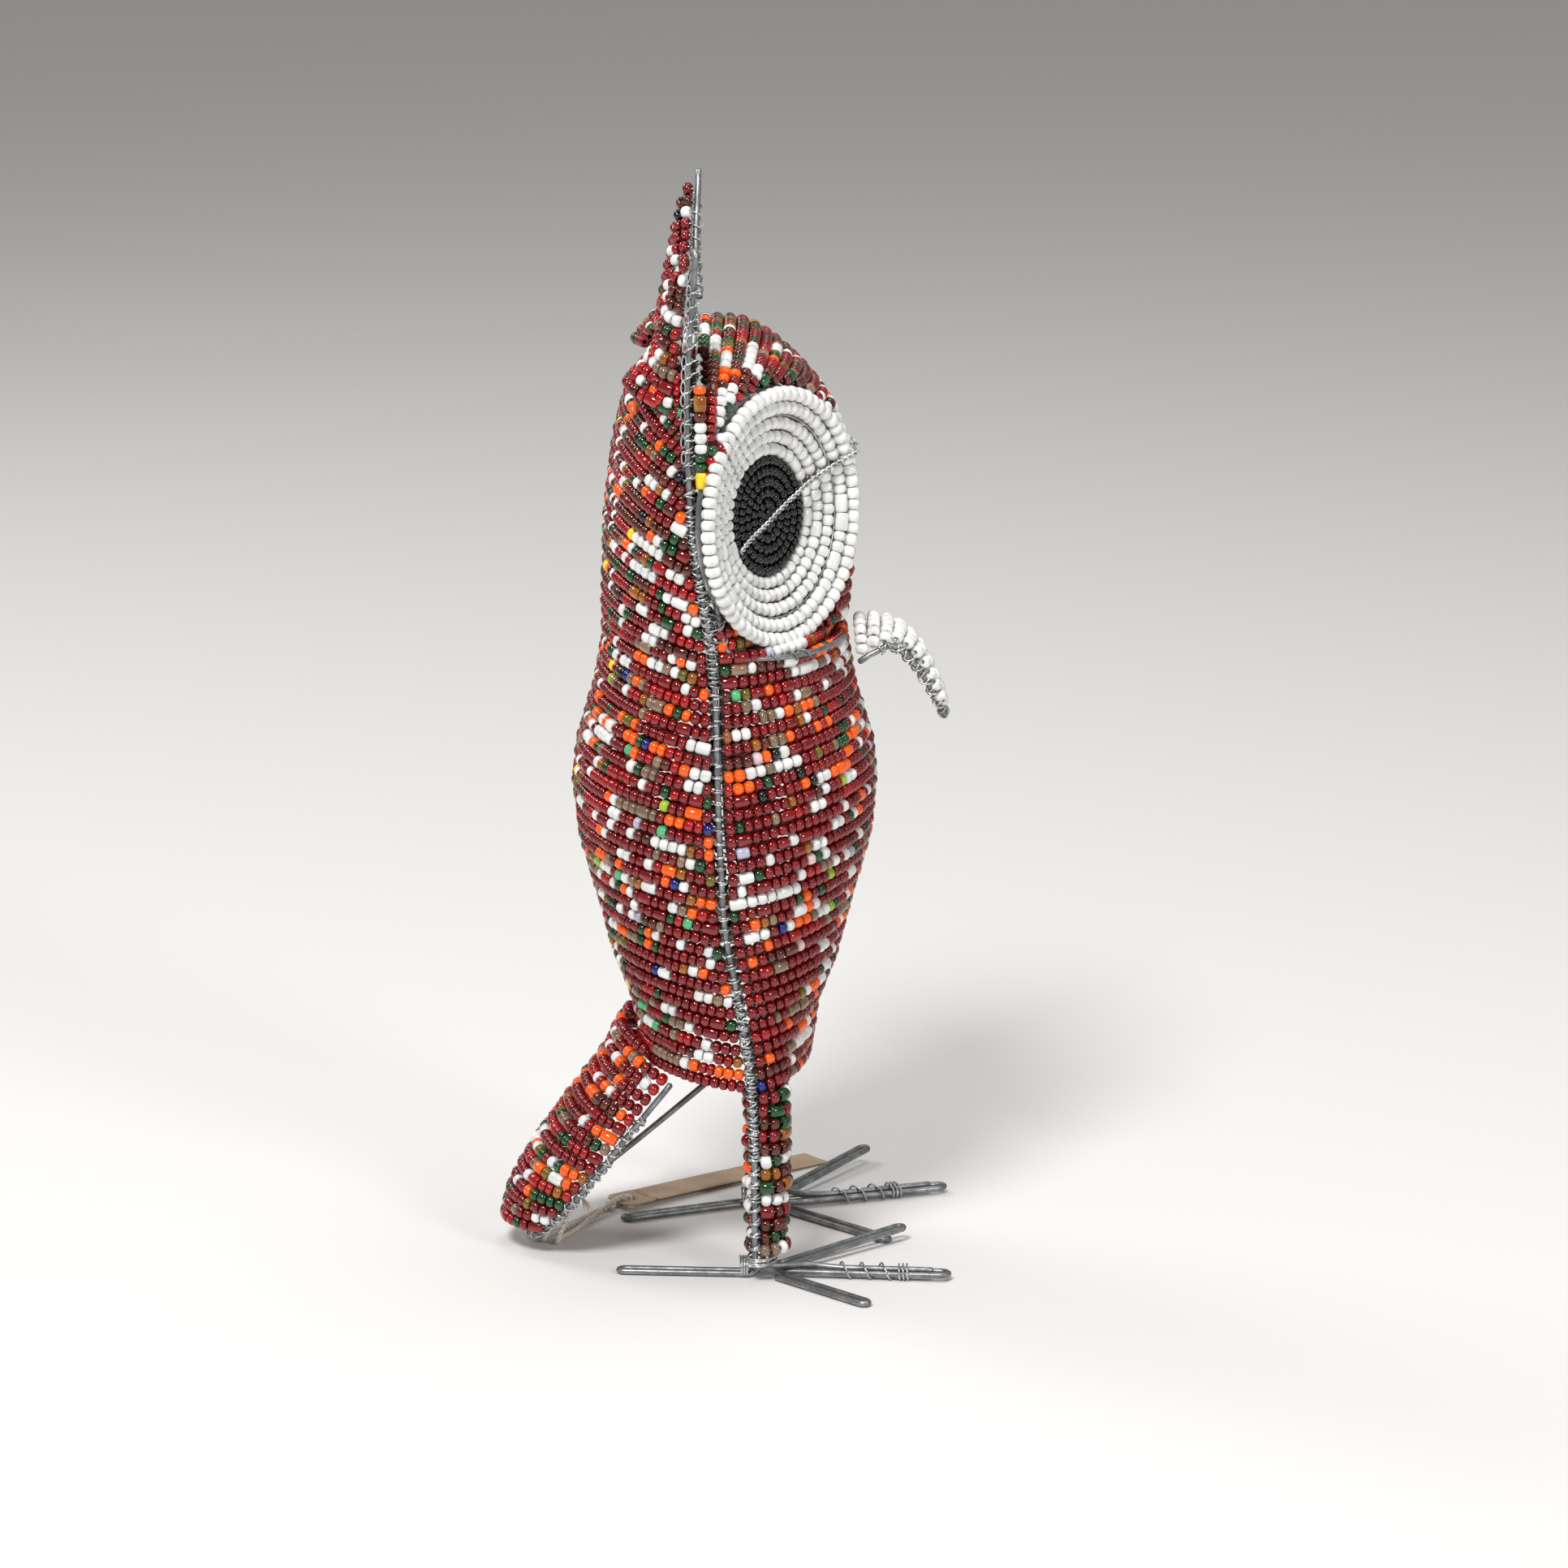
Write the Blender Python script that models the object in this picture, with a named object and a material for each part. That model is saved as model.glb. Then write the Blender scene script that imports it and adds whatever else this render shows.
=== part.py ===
"""A beaded wire owl: glass beads on thin wire, wound over a frame of galvanised wire.

The owl stands on its toes and faces -Y. Its own right side is -X. Lengths in the tables are millimetres,
across from the owl's middle plane, and are turned into metres where an object is made. The middle plane
lies at MIDLINE_X, so that the box round the owl, without its tag, is centred on the origin.
"""

import math

import bmesh
import bpy
import numpy as np
from mathutils import Vector

MM = 0.001
MIDLINE_X = -9.28

# Wires
FRAME_WIRE_R = 1.0
BINDING_WIRE_R = 0.28
TWISTED_WIRE_R = 0.5
WIRE_SIDES = 6
FLAT_TO_AXIS = FRAME_WIRE_R * math.cos(math.pi / WIRE_SIDES)
CLEARANCE = 0.35
INNER_FRAME_GAP = 1.6

# Beads: a field of strands is one shell, about as thick as a bead, whose edge stops short of its wire
BEAD_DIAMETER = 4.0
EDGE_MARGIN = 2.3

# Side rib: (across, y, z) from the head down to the ankle, on the left side; the right side mirrors it
RIB_HEAD_TO_ANKLE = [
    (61.0, 10.6, 272.0), (62.5, 9.6, 252.0), (61.5, 7.5, 236.0), (56.5, 4.2, 214.0), (53.5, 2.6, 197.0),
    (57.0, 1.8, 176.0), (58.5, 1.4, 157.0), (57.0, 0.6, 138.0), (52.5, -0.6, 118.0), (46.5, -5.0, 92.0),
    (42.8, -8.0, 70.0), (42.4, -9.3, 50.0), (42.5, -9.7, 30.0), (42.5, -9.7, 7.8),
]
EAR_OUTER = [(59.0, 10.8, 287.0), (57.8, 10.2, 305.0)]
EAR_INNER = [(44.5, 9.4, 318.0), (35.0, 8.6, 309.0), (30.5, 8.0, 305.8)]
EAR_TIP_BEND = 2.4
RIGHT_EAR_TIP = (56.0, 8.2, 335.0)
LEFT_EAR_TIP = (56.5, 8.8, 344.9)

# Silhouette of the beads in the middle plane, (y, z)
BODY_DEPTH = [
    (64.0, 28.0), (85.0, 31.0), (100.0, 37.0), (118.0, 41.6), (140.0, 47.7), (157.0, 49.4), (169.0, 48.2),
    (188.0, 42.5), (204.0, 39.7), (225.0, 39.5),
]
HEAD_BACK = [(39.5, 218.0), (39.3, 232.0), (38.0, 251.0), (35.3, 270.0), (31.0, 285.5), (24.5, 295.0)]
HEAD_TOP = [(20.0, 299.2), (13.0, 303.6), (6.6, 305.6)]
HEAD_TOP_HALF_WIDTH = 27.5
HEAD_TOP_DROP = 5.0
CROWN = [(2.0, 306.0), (-5.5, 305.2), (-12.0, 302.5), (-18.0, 298.0), (-24.0, 292.5), (-30.0, 286.0),
         (-35.0, 279.5)]
BODY_BOTTOM_Z = 64.5
NECK_Z = 204.0
EAR_FOOT_Z = 277.0
# How much higher a strand is at the middle plane than at the side rib, against its height on the rib
BACK_RISE = [(60.0, 3.0), (110.0, 8.0), (160.0, 8.5), (204.0, 9.0)]
FRONT_RISE = [(60.0, 3.0), (110.0, 8.0), (160.0, 8.5), (190.0, 4.5), (204.0, 2.0)]

# Eyes: a dish turned outwards and a little up
EYE_CENTRE = (36.5, -18.3, 248.5)
EYE_TURN = math.radians(35.5)
EYE_TILT = math.radians(3.0)
EYE_RIM_R = 38.7
EYE_RIM_BEAD_R = 2.3
EYE_DISH = [(36.0, 0.7), (32.0, 2.2), (27.5, 3.8), (23.5, 5.2), (19.8, 6.2)]
EYE_DISH_THICKNESS = 3.6
CROWN_FROM_RIM = 4.9
CROWN_BEHIND_RIM = 3.8
CROWN_OUTER_ANGLE = math.radians(-49.0)
CROWN_INNER_ANGLE = math.radians(44.0)
PUPIL_R = 19.2
PUPIL_DEPTH = 6.4
PUPIL_THICKNESS = 3.2
EYE_HOOP_R = 37.8
EYE_HOOP_DEPTH = 4.6

# Beak: edge wire on the left, (across, y, z) from its root to the tip, and the top line of the beads
BEAK_EDGE = [(13.0, -43.0, 197.2), (12.2, -47.5, 199.8), (10.5, -54.0, 201.6), (7.6, -61.8, 194.0),
             (4.6, -67.0, 185.0)]
BEAK_TIP = (-70.5, 177.6)
BEAK_TOP = [(-40.5, 210.0), (-47.4, 211.0), (-56.5, 208.0), (-64.4, 200.0), (-69.6, 189.0), (-71.8, 181.0)]

# Tail: edge wire on the left from its root to the tip, and the top line of the beads
TAIL_EDGE = [(27.0, 17.5, 61.0), (27.5, 33.5, 41.1), (26.0, 41.4, 30.1), (22.0, 50.8, 18.2),
             (14.0, 60.0, 7.6)]
TAIL_TIP = (64.6, 3.9)
TAIL_TOP = [(37.5, 73.0), (40.7, 66.5), (51.4, 52.0), (64.9, 33.0), (72.3, 19.0), (74.2, 10.5)]
TAIL_BRACE = [(0.0, 6.0, 54.0), (0.0, 58.5, 10.6)]

# Legs and feet: each toe's tip (across, y) and how far the tip stands off the ground
LEG_CENTRE = (36.5, -13.6)
LEG_BEAD_RING_R = 5.8
LEG_TOP_Z = 61.0
LEG_FOOT_Z = 8.2
LEG_SLOT_ANGLE = math.radians(33.0)
LEG_SLOT_HALF = math.radians(17.0)
CORE_OFFSET = 1.35
ANKLE_BINDING_Z = 5.7
CORE_LEAN = [(-5.5, 5.0, 76.0), (-3.6, 3.4, 69.5), (-0.9, 0.9, 64.2), (0.0, 0.0, 58.0), (0.0, 0.0, 30.0)]
TOE_HALF_GAP = 1.6
MIDDLE_TOE_HALF_GAP = 2.2
MIDDLE_TOE_Z = 1.85
RIB_ON_TOE_Z = 2.9
TOE_BEND_LENGTH = 9.0
TOE_START = 9.0
RIGHT_TOES = {
    "back": (-34.0, 35.0, 0.0),
    "middle": (-41.0, -72.7, 0.0),
    "outer": (-68.5, -46.0, 0.0),
    "inner": (1.0, -58.6, 3.4),
}
LEFT_TOES = {
    "back": (20.0, 35.0, 0.0),
    "middle": (53.0, -73.7, 0.0),
    "outer": (88.4, -47.5, 3.6),
    "inner": (-3.5, -53.7, 0.0),
}

# Tag: a paper card at the end of a loop of cotton string tied to the tail brace
TAG_HOLE = (38.0, 33.0)
TAG_DIRECTION = math.atan2(-67.6, 55.0)
TAG_LENGTH = 87.0
TAG_WIDTH = 14.0
TAG_THICKNESS = 0.5
TAG_HOLE_R = 2.4
TAG_HOLE_FROM_END = 5.5
TAG_LIFT = 1.75
STRING_R = 0.7
STRING_POINTS = 50
STRING_TIE = (0.0, 46.0)
STRING_ROUTE = [
    (-1.2, 47.9, 17.6), (-3.4, 50.6, 12.5), (-6.0, 53.5, 6.0), (-6.2, 55.2, 1.8), (-1.5, 54.6, 0.75),
    (6.0, 50.8, 0.75), (16.0, 46.6, 0.8), (26.0, 41.6, 1.6), (32.6, 37.6, 3.0), (36.2, 34.0, 3.3),
    (38.2, 32.6, 2.3), (38.4, 33.6, 1.05), (36.4, 36.6, 0.75), (31.0, 41.4, 0.75), (22.0, 47.0, 0.75),
    (12.0, 52.4, 0.75), (3.0, 58.0, 0.75), (-3.6, 59.6, 1.6), (-5.6, 57.4, 6.0), (-3.9, 53.2, 12.0),
    (-1.7, 49.9, 16.9),
]

COLOURS = {
    "galvanised_wire": ((0.46, 0.48, 0.50), 0.38, 1.0),
    "red_beads": ((0.32, 0.012, 0.018), 0.15, 0.0),
    "brown_beads": ((0.20, 0.035, 0.02), 0.15, 0.0),
    "white_beads": ((0.88, 0.87, 0.84), 0.22, 0.0),
    "black_beads": ((0.008, 0.008, 0.009), 0.12, 0.0),
    "kraft_paper": ((0.50, 0.36, 0.24), 0.85, 0.0),
    "cotton": ((0.80, 0.76, 0.68), 0.90, 0.0),
}


def clear_scene():
    for obj in list(bpy.data.objects):
        bpy.data.objects.remove(obj, do_unlink=True)


def make_material(name):
    colour, roughness, metallic = COLOURS[name]
    material = bpy.data.materials.new(name)
    material.use_nodes = True
    shader = material.node_tree.nodes["Principled BSDF"]
    shader.inputs["Base Color"].default_value = (*colour, 1.0)
    shader.inputs["Roughness"].default_value = roughness
    shader.inputs["Metallic"].default_value = metallic
    return material


def owl(point):
    """A point across from the middle plane, in millimetres, as a point of the model in metres."""
    return Vector(((point[0] + MIDLINE_X) * MM, point[1] * MM, point[2] * MM))


def fine_curve(points):
    """A Catmull-Rom curve through the points, in short steps."""
    p = np.array(points, float)
    ends = np.vstack([2 * p[0] - p[1], p, 2 * p[-1] - p[-2]])
    fine = []
    for a, b, c, d in zip(ends, ends[1:], ends[2:], ends[3:]):
        for t in np.linspace(0, 1, 24, endpoint=False):
            fine.append(0.5 * (2 * b + (c - a) * t + (2 * a - 5 * b + 4 * c - d) * t**2
                               + (3 * b - a - 3 * c + d) * t**3))
    return np.array([*fine, p[-1]])


def sampled(fine, cost, count):
    """count points of a fine curve, at even steps of a cost that grows along it."""
    run = np.concatenate([[0], np.cumsum(cost)])
    wanted = np.linspace(0, run[-1], count)
    return np.column_stack([np.interp(wanted, run, fine[:, i]) for i in range(fine.shape[1])])


def smooth(points, count):
    """count points, evenly spaced by length, on a smooth curve through the given ones."""
    fine = fine_curve(points)
    return sampled(fine, np.linalg.norm(np.diff(fine, axis=0), axis=1), count)


def smooth_steps(points, step, bend=math.radians(26)):
    """Points a step apart, closer where the curve bends, an odd number so that a hairpin keeps its tip."""
    fine = fine_curve(points)
    run = np.diff(fine, axis=0)
    length = np.linalg.norm(run, axis=1)
    ways = run / np.maximum(length, 1e-9)[:, None]
    turn = np.arccos(np.clip((ways[1:] * ways[:-1]).sum(axis=1), -1, 1))
    cost = length / step + np.concatenate([[0], turn]) / bend
    return sampled(fine, cost, 2 * max(1, round(cost.sum() / 2)) + 1)


def from_table(table, value):
    return float(np.interp(value, [row[0] for row in table], [row[1] for row in table]))


def mirrored(points, side):
    return [(side * x, y, z) for x, y, z in points]


def add_object(name, data, material, parent):
    obj = bpy.data.objects.new(name, data)
    data.materials.append(MATERIALS[material])
    bpy.context.scene.collection.objects.link(obj)
    obj.parent = parent
    if parent is not None:
        obj.matrix_parent_inverse = parent.matrix_world.inverted()
    return obj


def mesh_object(name, vertices, faces, material, parent=None, flat=False):
    mesh = bpy.data.meshes.new(name)
    mesh.from_pydata([owl(v) for v in vertices], [], faces)
    shape = bmesh.new()
    shape.from_mesh(mesh)
    bmesh.ops.recalc_face_normals(shape, faces=shape.faces)
    shape.to_mesh(mesh)
    shape.free()
    if not flat:
        mesh.shade_smooth()
        mesh.set_sharp_from_angle(angle=math.radians(66))
    return add_object(name, mesh, material, parent)


def transported(tangents, anchor, normal):
    """A normal for each tangent, carried both ways from the anchor without twist."""
    normals = [None] * len(tangents)
    normals[anchor] = (normal - tangents[anchor] * normal.dot(tangents[anchor])).normalized()
    for start, step in ((anchor, 1), (anchor, -1)):
        i = start
        while 0 <= i + step < len(tangents):
            turn = tangents[i].rotation_difference(tangents[i + step])
            normals[i + step] = (turn @ normals[i]).normalized()
            i += step
    return normals


def wire(name, points, radius, material, sides=WIRE_SIDES, up_at=0, closed=False, parent=None):
    """A wire along the points. Where up_at is, two of its flats face up and down."""
    p = [Vector(point) for point in points]
    n = len(p)
    if closed:
        tangents = [(p[(i + 1) % n] - p[i - 1]).normalized() for i in range(n)]
    else:
        tangents = [(p[min(i + 1, n - 1)] - p[max(i - 1, 0)]).normalized() for i in range(n)]
    up = Vector((0, 0, 1)) if abs(tangents[up_at].z) < 0.9 else Vector((0, 1, 0))
    normals = transported(tangents, up_at, up)
    vertices, faces = [], []
    for centre, tangent, normal in zip(p, tangents, normals):
        side = tangent.cross(normal)
        for k in range(sides):
            angle = 2 * math.pi * (k + 0.5) / sides
            vertices.append(centre + radius * (math.cos(angle) * normal + math.sin(angle) * side))
    for i in range(n if closed else n - 1):
        for k in range(sides):
            a, b = i * sides, (i + 1) % n * sides
            faces.append((a + k, a + (k + 1) % sides, b + (k + 1) % sides, b + k))
    if not closed:
        faces.append(tuple(reversed(range(sides))))
        faces.append(tuple(range((n - 1) * sides, n * sides)))
    return mesh_object(name, vertices, faces, material, parent)


def shell(name, rows, thickness, material, parent=None):
    """A shell whose middle surface runs through the rows of points."""
    across = len(rows[0])
    vertices = [point for row in rows for point in row]
    faces = [(i * across + k, i * across + k + 1, (i + 1) * across + k + 1, (i + 1) * across + k)
             for i in range(len(rows) - 1) for k in range(across - 1)]
    obj = mesh_object(name, vertices, faces, material, parent)
    solidify = obj.modifiers.new("Thickness", "SOLIDIFY")
    solidify.thickness = thickness * MM
    solidify.offset = 0.0
    solidify.use_even_offset = True
    solidify.use_quality_normals = True
    return obj


def lathe(name, outline, segments, place, material, parent=None):
    """The closed outline, (radius, height) points with no point on the axis, turned round an axis."""
    vertices, faces = [], []
    n = len(outline)
    for s in range(segments):
        angle = 2 * math.pi * s / segments
        for radius, height in outline:
            vertices.append(place(radius * math.cos(angle), radius * math.sin(angle), height))
    for s in range(segments):
        for k in range(n):
            a, b = s * n, (s + 1) % segments * n
            faces.append((a + k, a + (k + 1) % n, b + (k + 1) % n, b + k))
    return mesh_object(name, vertices, faces, material, parent)


def disc(name, radius, thickness, segments, place, material, parent=None):
    """A flat disc with a rounded edge."""
    vertices, faces = [], []
    edge = [(radius * 0.93, -thickness / 2), (radius, 0.0), (radius * 0.93, thickness / 2)]
    for r, height in edge:
        for s in range(segments):
            angle = 2 * math.pi * s / segments
            vertices.append(place(r * math.cos(angle), r * math.sin(angle), height))
    for ring in range(len(edge) - 1):
        for s in range(segments):
            a, b = ring * segments, (ring + 1) * segments
            faces.append((a + s, a + (s + 1) % segments, b + (s + 1) % segments, b + s))
    faces.append(tuple(reversed(range(segments))))
    faces.append(tuple(range(2 * segments, 3 * segments)))
    return mesh_object(name, vertices, faces, material, parent)


# The frame ------------------------------------------------------------------------------------------

RIB = smooth(RIB_HEAD_TO_ANKLE, 120)


def rib_at(z):
    """(across, y) of the left side rib at a height between the ankle and the head."""
    order = np.argsort(RIB[:, 2])
    return (float(np.interp(z, RIB[order, 2], RIB[order, 0])),
            float(np.interp(z, RIB[order, 2], RIB[order, 1])))


def depth_at(z):
    return from_table(BODY_DEPTH, z)


def toe_line(side, tip, from_ankle):
    """Where a toe's straight run starts, (across, y), its direction and its length."""
    root = np.array([side * LEG_CENTRE[0], LEG_CENTRE[1] - from_ankle])
    run = np.array(tip[:2], float) - root
    length = float(np.linalg.norm(run))
    return root, run / length, length


def make_side_rib(name, side, ear_tip, toe_tip):
    """One wire: ear foot, ear tip, down the side to the ankle, then forward on top of the middle toe."""
    tip_x, tip_y, tip_z = ear_tip
    raise_by = tip_z - RIGHT_EAR_TIP[2]
    outer = [(x, y, z + raise_by * (z - 272.0) / 65.0) for x, y, z in EAR_OUTER]
    inner = [(x, y, z + raise_by * (z - 299.5) / 36.0) for x, y, z in EAR_INNER]
    bend = [(tip_x - 1.3 * EAR_TIP_BEND, tip_y, tip_z - EAR_TIP_BEND * 1.8),
            (tip_x - 0.4 * EAR_TIP_BEND, tip_y, tip_z - FRAME_WIRE_R),
            (tip_x + 0.75 * EAR_TIP_BEND, tip_y, tip_z - EAR_TIP_BEND * 1.4)]
    down = mirrored([*reversed(inner), *bend, *reversed(outer), *RIB_HEAD_TO_ANKLE], side)
    root, along, length = toe_line(side, toe_tip, TOE_BEND_LENGTH)
    on_toe = [(*(root + along * s), RIB_ON_TOE_Z) for s in (15.0, 28.0, length - 6.0)]
    turn = [(side * 42.4, -10.5, 5.6), (side * 41.2, -14.6, 4.7), (side * 39.4, -20.0, 4.3),
            (*(root + along * 5.0), RIB_ON_TOE_Z + 0.7)]
    route = [*down, *turn, *on_toe]
    wire(name, smooth_steps(route, 11.0), FRAME_WIRE_R, "galvanised_wire", up_at=-1)


def hoop_points(z, side_inset, depth_inset, count):
    """A hoop inside the body: a half ellipse to the front and one to the back of the side ribs."""
    across, y = rib_at(z)
    points = []
    for a in np.linspace(0, 2 * math.pi, count, endpoint=False):
        end = math.copysign(depth_at(z) - depth_inset, -math.cos(a))
        points.append(((across - side_inset) * math.sin(a), y + (end - y) * abs(math.cos(a)), z))
    return points


def make_inner_frame():
    """Front and back ribs under the beads, and three hoops inside them."""
    inside = BEAD_DIAMETER + FRAME_WIRE_R + INNER_FRAME_GAP
    heights = (74.0, 100.0, 130.0, 157.0, 180.0, 197.0)
    for name, sign in (("front_rib", -1), ("back_rib", 1)):
        points = [(0.0, sign * (depth_at(z) - inside), z) for z in heights]
        wire(name, smooth(points, 13), FRAME_WIRE_R, "galvanised_wire")
    for name, z in (("base_hoop", 82.0), ("chest_hoop", 152.0), ("neck_hoop", 198.5)):
        side_inset = BEAD_DIAMETER / 2 + FRAME_WIRE_R + INNER_FRAME_GAP
        points = hoop_points(z, side_inset, inside + 2 * FRAME_WIRE_R + CLEARANCE, 20)
        wire(name, points, FRAME_WIRE_R, "galvanised_wire", closed=True)


# Bead fields ----------------------------------------------------------------------------------------


def strand(rib_point, middle, count, margin=EDGE_MARGIN):
    """Points of a strand from the right rib to the left one, a half ellipse through the middle point."""
    across, y, z = rib_point
    reach = math.hypot(middle[0] - y, middle[1] - z)
    limit = math.pi / 2 - margin / max(reach, 6.0)
    return [(across * math.sin(a), y + (middle[0] - y) * math.cos(a), z + (middle[1] - z) * math.cos(a))
            for a in np.linspace(-limit, limit, count)]


def rib_point(z):
    across, y = rib_at(z)
    return across, y, z


def body_rows(sign, rise, bottom, top, count, across):
    """Strands between the ribs on the front, sign -1, or the back, sign 1, of the body."""
    rows = []
    for z in np.linspace(bottom, top, count):
        middle_z = z + from_table(rise, z)
        middle = (sign * (depth_at(middle_z) - BEAD_DIAMETER / 2), middle_z)
        rows.append(strand(rib_point(z), middle, across))
    return rows


def inset_profile(points, count):
    """The silhouette moved in by half a bead, resampled."""
    fine = smooth(points, 80)
    run = np.gradient(fine, axis=0)
    run /= np.linalg.norm(run, axis=1)[:, None]
    normal = np.column_stack([-run[:, 1], run[:, 0]])
    return smooth(fine + normal * BEAD_DIAMETER / 2, count)


def make_body():
    front = body_rows(-1, FRONT_RISE, BODY_BOTTOM_Z, NECK_Z - 2.0, 15, 15)
    shell("body_front_beads", front, BEAD_DIAMETER, "red_beads")
    back = body_rows(1, BACK_RISE, BODY_BOTTOM_Z, NECK_Z - 0.4, 15, 15)
    shell("body_back_beads", back, BEAD_DIAMETER, "red_beads")


def make_head_back():
    count = 12
    middles = inset_profile(HEAD_BACK, count)
    heights = np.linspace(NECK_Z + 0.3, EAR_FOOT_Z, count)
    rows = []
    for z, middle in zip(heights, middles):
        low = min(1.0, (z - heights[0]) / 30.0)
        start = np.array([depth_at(z + 9.0) - BEAD_DIAMETER / 2, z + 9.4])
        rows.append(strand(head_rib_point(z), start * (1 - low) + middle * low, 15, EDGE_MARGIN + 0.4))
    shell("head_back_beads", rows, BEAD_DIAMETER, "brown_beads")


def head_rib_point(z):
    """The side rib above the ankle, and along the foot of the ear."""
    if z <= RIB_HEAD_TO_ANKLE[0][2]:
        return rib_point(z)
    low, high = RIB_HEAD_TO_ANKLE[0], EAR_OUTER[0]
    t = (z - low[2]) / (high[2] - low[2])
    return tuple(a + (b - a) * t for a, b in zip(low, high))


def make_head_top():
    """Strands across the top of the head, between the ears."""
    rows = []
    for y, z in inset_profile(HEAD_TOP, 4):
        end = (HEAD_TOP_HALF_WIDTH, y, z - HEAD_TOP_DROP)
        rows.append(strand(end, (y, z), 7, 0.0))
    shell("head_top_beads", rows, BEAD_DIAMETER - 0.4, "brown_beads")


def make_crown():
    """Strands over the front of the head, from above one eye's rim to above the other's."""
    place = eye_place(1)
    rows = []
    for angle, middle in zip(np.linspace(CROWN_OUTER_ANGLE, CROWN_INNER_ANGLE, 9), inset_profile(CROWN, 9)):
        reach = EYE_RIM_R + CROWN_FROM_RIM
        end = place(reach * math.sin(angle), reach * math.cos(angle), -CROWN_BEHIND_RIM)
        rows.append(strand(tuple(end), middle, 11, 0.0))
    shell("crown_beads", rows, BEAD_DIAMETER - 0.6, "brown_beads")


def make_face():
    """Strands between the eyes' rims, from the neck up to the ridge where the rims meet."""
    place = eye_place(1)
    rows = []
    for angle, middle_y in zip(np.radians([152, 141, 129, 115]), (-38.0, -38.6, -39.4, -40.2)):
        reach = EYE_RIM_R + CROWN_FROM_RIM
        end = place(reach * math.sin(angle), reach * math.cos(angle), -CROWN_BEHIND_RIM)
        rows.append(strand(tuple(end), (middle_y, end.z + 1.0), 7, 0.0))
    shell("face_beads", rows, BEAD_DIAMETER - 0.6, "red_beads")


def make_ear(name, side, ear_tip):
    """Strands from the ear's outer wire to its inner wire, bulging back."""
    tip = np.array(ear_tip)
    outer_foot = np.array([56.6, 10.6, 296.0])
    inner_foot = np.array([34.5, 9.6, 306.5])
    rows = []
    for t in np.linspace(0.0, 0.80, 5):
        outer = outer_foot + (tip - outer_foot) * t - np.array([2.4, 0, 0]) * t
        inner = inner_foot + (tip - inner_foot) * t
        bulge = 10.0 * (1 - t) + 3.4 * t
        row = []
        for a in np.linspace(math.radians(28), math.radians(152), 6):
            point = (outer + inner) / 2 + (outer - inner) / 2 * math.cos(a)
            row.append((side * point[0], point[1] + 1.2 + bulge * math.sin(a), point[2]))
        rows.append(row)
    shell(name, rows, 3.2, "brown_beads")


# Eyes -----------------------------------------------------------------------------------------------


def eye_place(side):
    """A function that puts (inwards, up, out) of the eye's dish at its place on the head."""
    inward = Vector((-side * math.cos(EYE_TURN), -math.sin(EYE_TURN), 0))
    level_out = Vector((side * math.sin(EYE_TURN), -math.cos(EYE_TURN), 0))
    out = level_out * math.cos(EYE_TILT) + Vector((0, 0, math.sin(EYE_TILT)))
    up = Vector((0, 0, math.cos(EYE_TILT))) - level_out * math.sin(EYE_TILT)
    centre = Vector((side * EYE_CENTRE[0], EYE_CENTRE[1], EYE_CENTRE[2]))
    return lambda a, b, c: centre + inward * a + up * b + out * c


def make_eye(word, side):
    place = eye_place(side)
    rim = [(EYE_RIM_R + EYE_RIM_BEAD_R * math.cos(a), EYE_RIM_BEAD_R * math.sin(a))
           for a in np.linspace(0, 2 * math.pi, 6, endpoint=False) + math.pi / 6]
    lathe(f"{word}_eye_rim_beads", rim, 28, place, "white_beads")
    half = EYE_DISH_THICKNESS / 2
    dish = [(r, half - d) for r, d in EYE_DISH] + [(r, -half - d) for r, d in reversed(EYE_DISH)]
    lathe(f"{word}_eye_dish_beads", dish, 28, place, "white_beads")

    def deep(a, b, c):
        return place(a, b, c - PUPIL_DEPTH)

    disc(f"{word}_pupil_beads", PUPIL_R, PUPIL_THICKNESS, 22, deep, "black_beads")
    hoop = [place(EYE_HOOP_R * math.cos(a), EYE_HOOP_R * math.sin(a), -EYE_HOOP_DEPTH)
            for a in np.linspace(0, 2 * math.pi, 26, endpoint=False)]
    wire(f"{word}_eye_hoop", hoop, FRAME_WIRE_R, "galvanised_wire", closed=True)
    lift = EYE_DISH_THICKNESS / 2 + TWISTED_WIRE_R + CLEARANCE
    across = [(-27.0, -9.0, -3.6 + lift), (-20.0, -6.5, -4.6 + lift), (-8.0, -2.0, -5.4 + lift),
              (6.0, 3.0, -5.4 + lift), (19.0, 8.0, -4.6 + lift), (29.0, 11.5, -2.6 + lift),
              (34.0, 13.3, 0.6 + lift), (38.5, 15.0, 1.6 + lift)]
    wire(f"{word}_eye_twisted_wire", smooth([tuple(place(*p)) for p in across], 9), TWISTED_WIRE_R,
         "galvanised_wire")


# Beak and tail --------------------------------------------------------------------------------------


def hairpin(edge, tip_y, tip_z, bend):
    """Left edge from root to tip, round the tip, and back along the right edge."""
    turn = [(bend, tip_y - (tip_y - edge[-1][1]) * 0.25, tip_z - (tip_z - edge[-1][2]) * 0.25),
            (0.0, tip_y, tip_z)]
    left = [*edge, turn[0]]
    return [*left, turn[1], *reversed(mirrored(left, -1))]


def arch_rows(edge, top, count, across, inset, margin):
    """Strands over an arch, from the edge wire on one side to the one on the other."""
    sides = smooth(edge, count)
    middles = smooth(top, count)
    run = np.gradient(middles, axis=0)
    run /= np.linalg.norm(run, axis=1)[:, None]
    rows = []
    for side_point, middle, direction in zip(sides, middles, run):
        normal = np.array([-direction[1], direction[0]])
        if normal @ (middle - side_point[1:]) < 0:
            normal = -normal
        rows.append(strand(tuple(side_point), tuple(middle - normal * inset), across, margin))
    return rows


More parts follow.
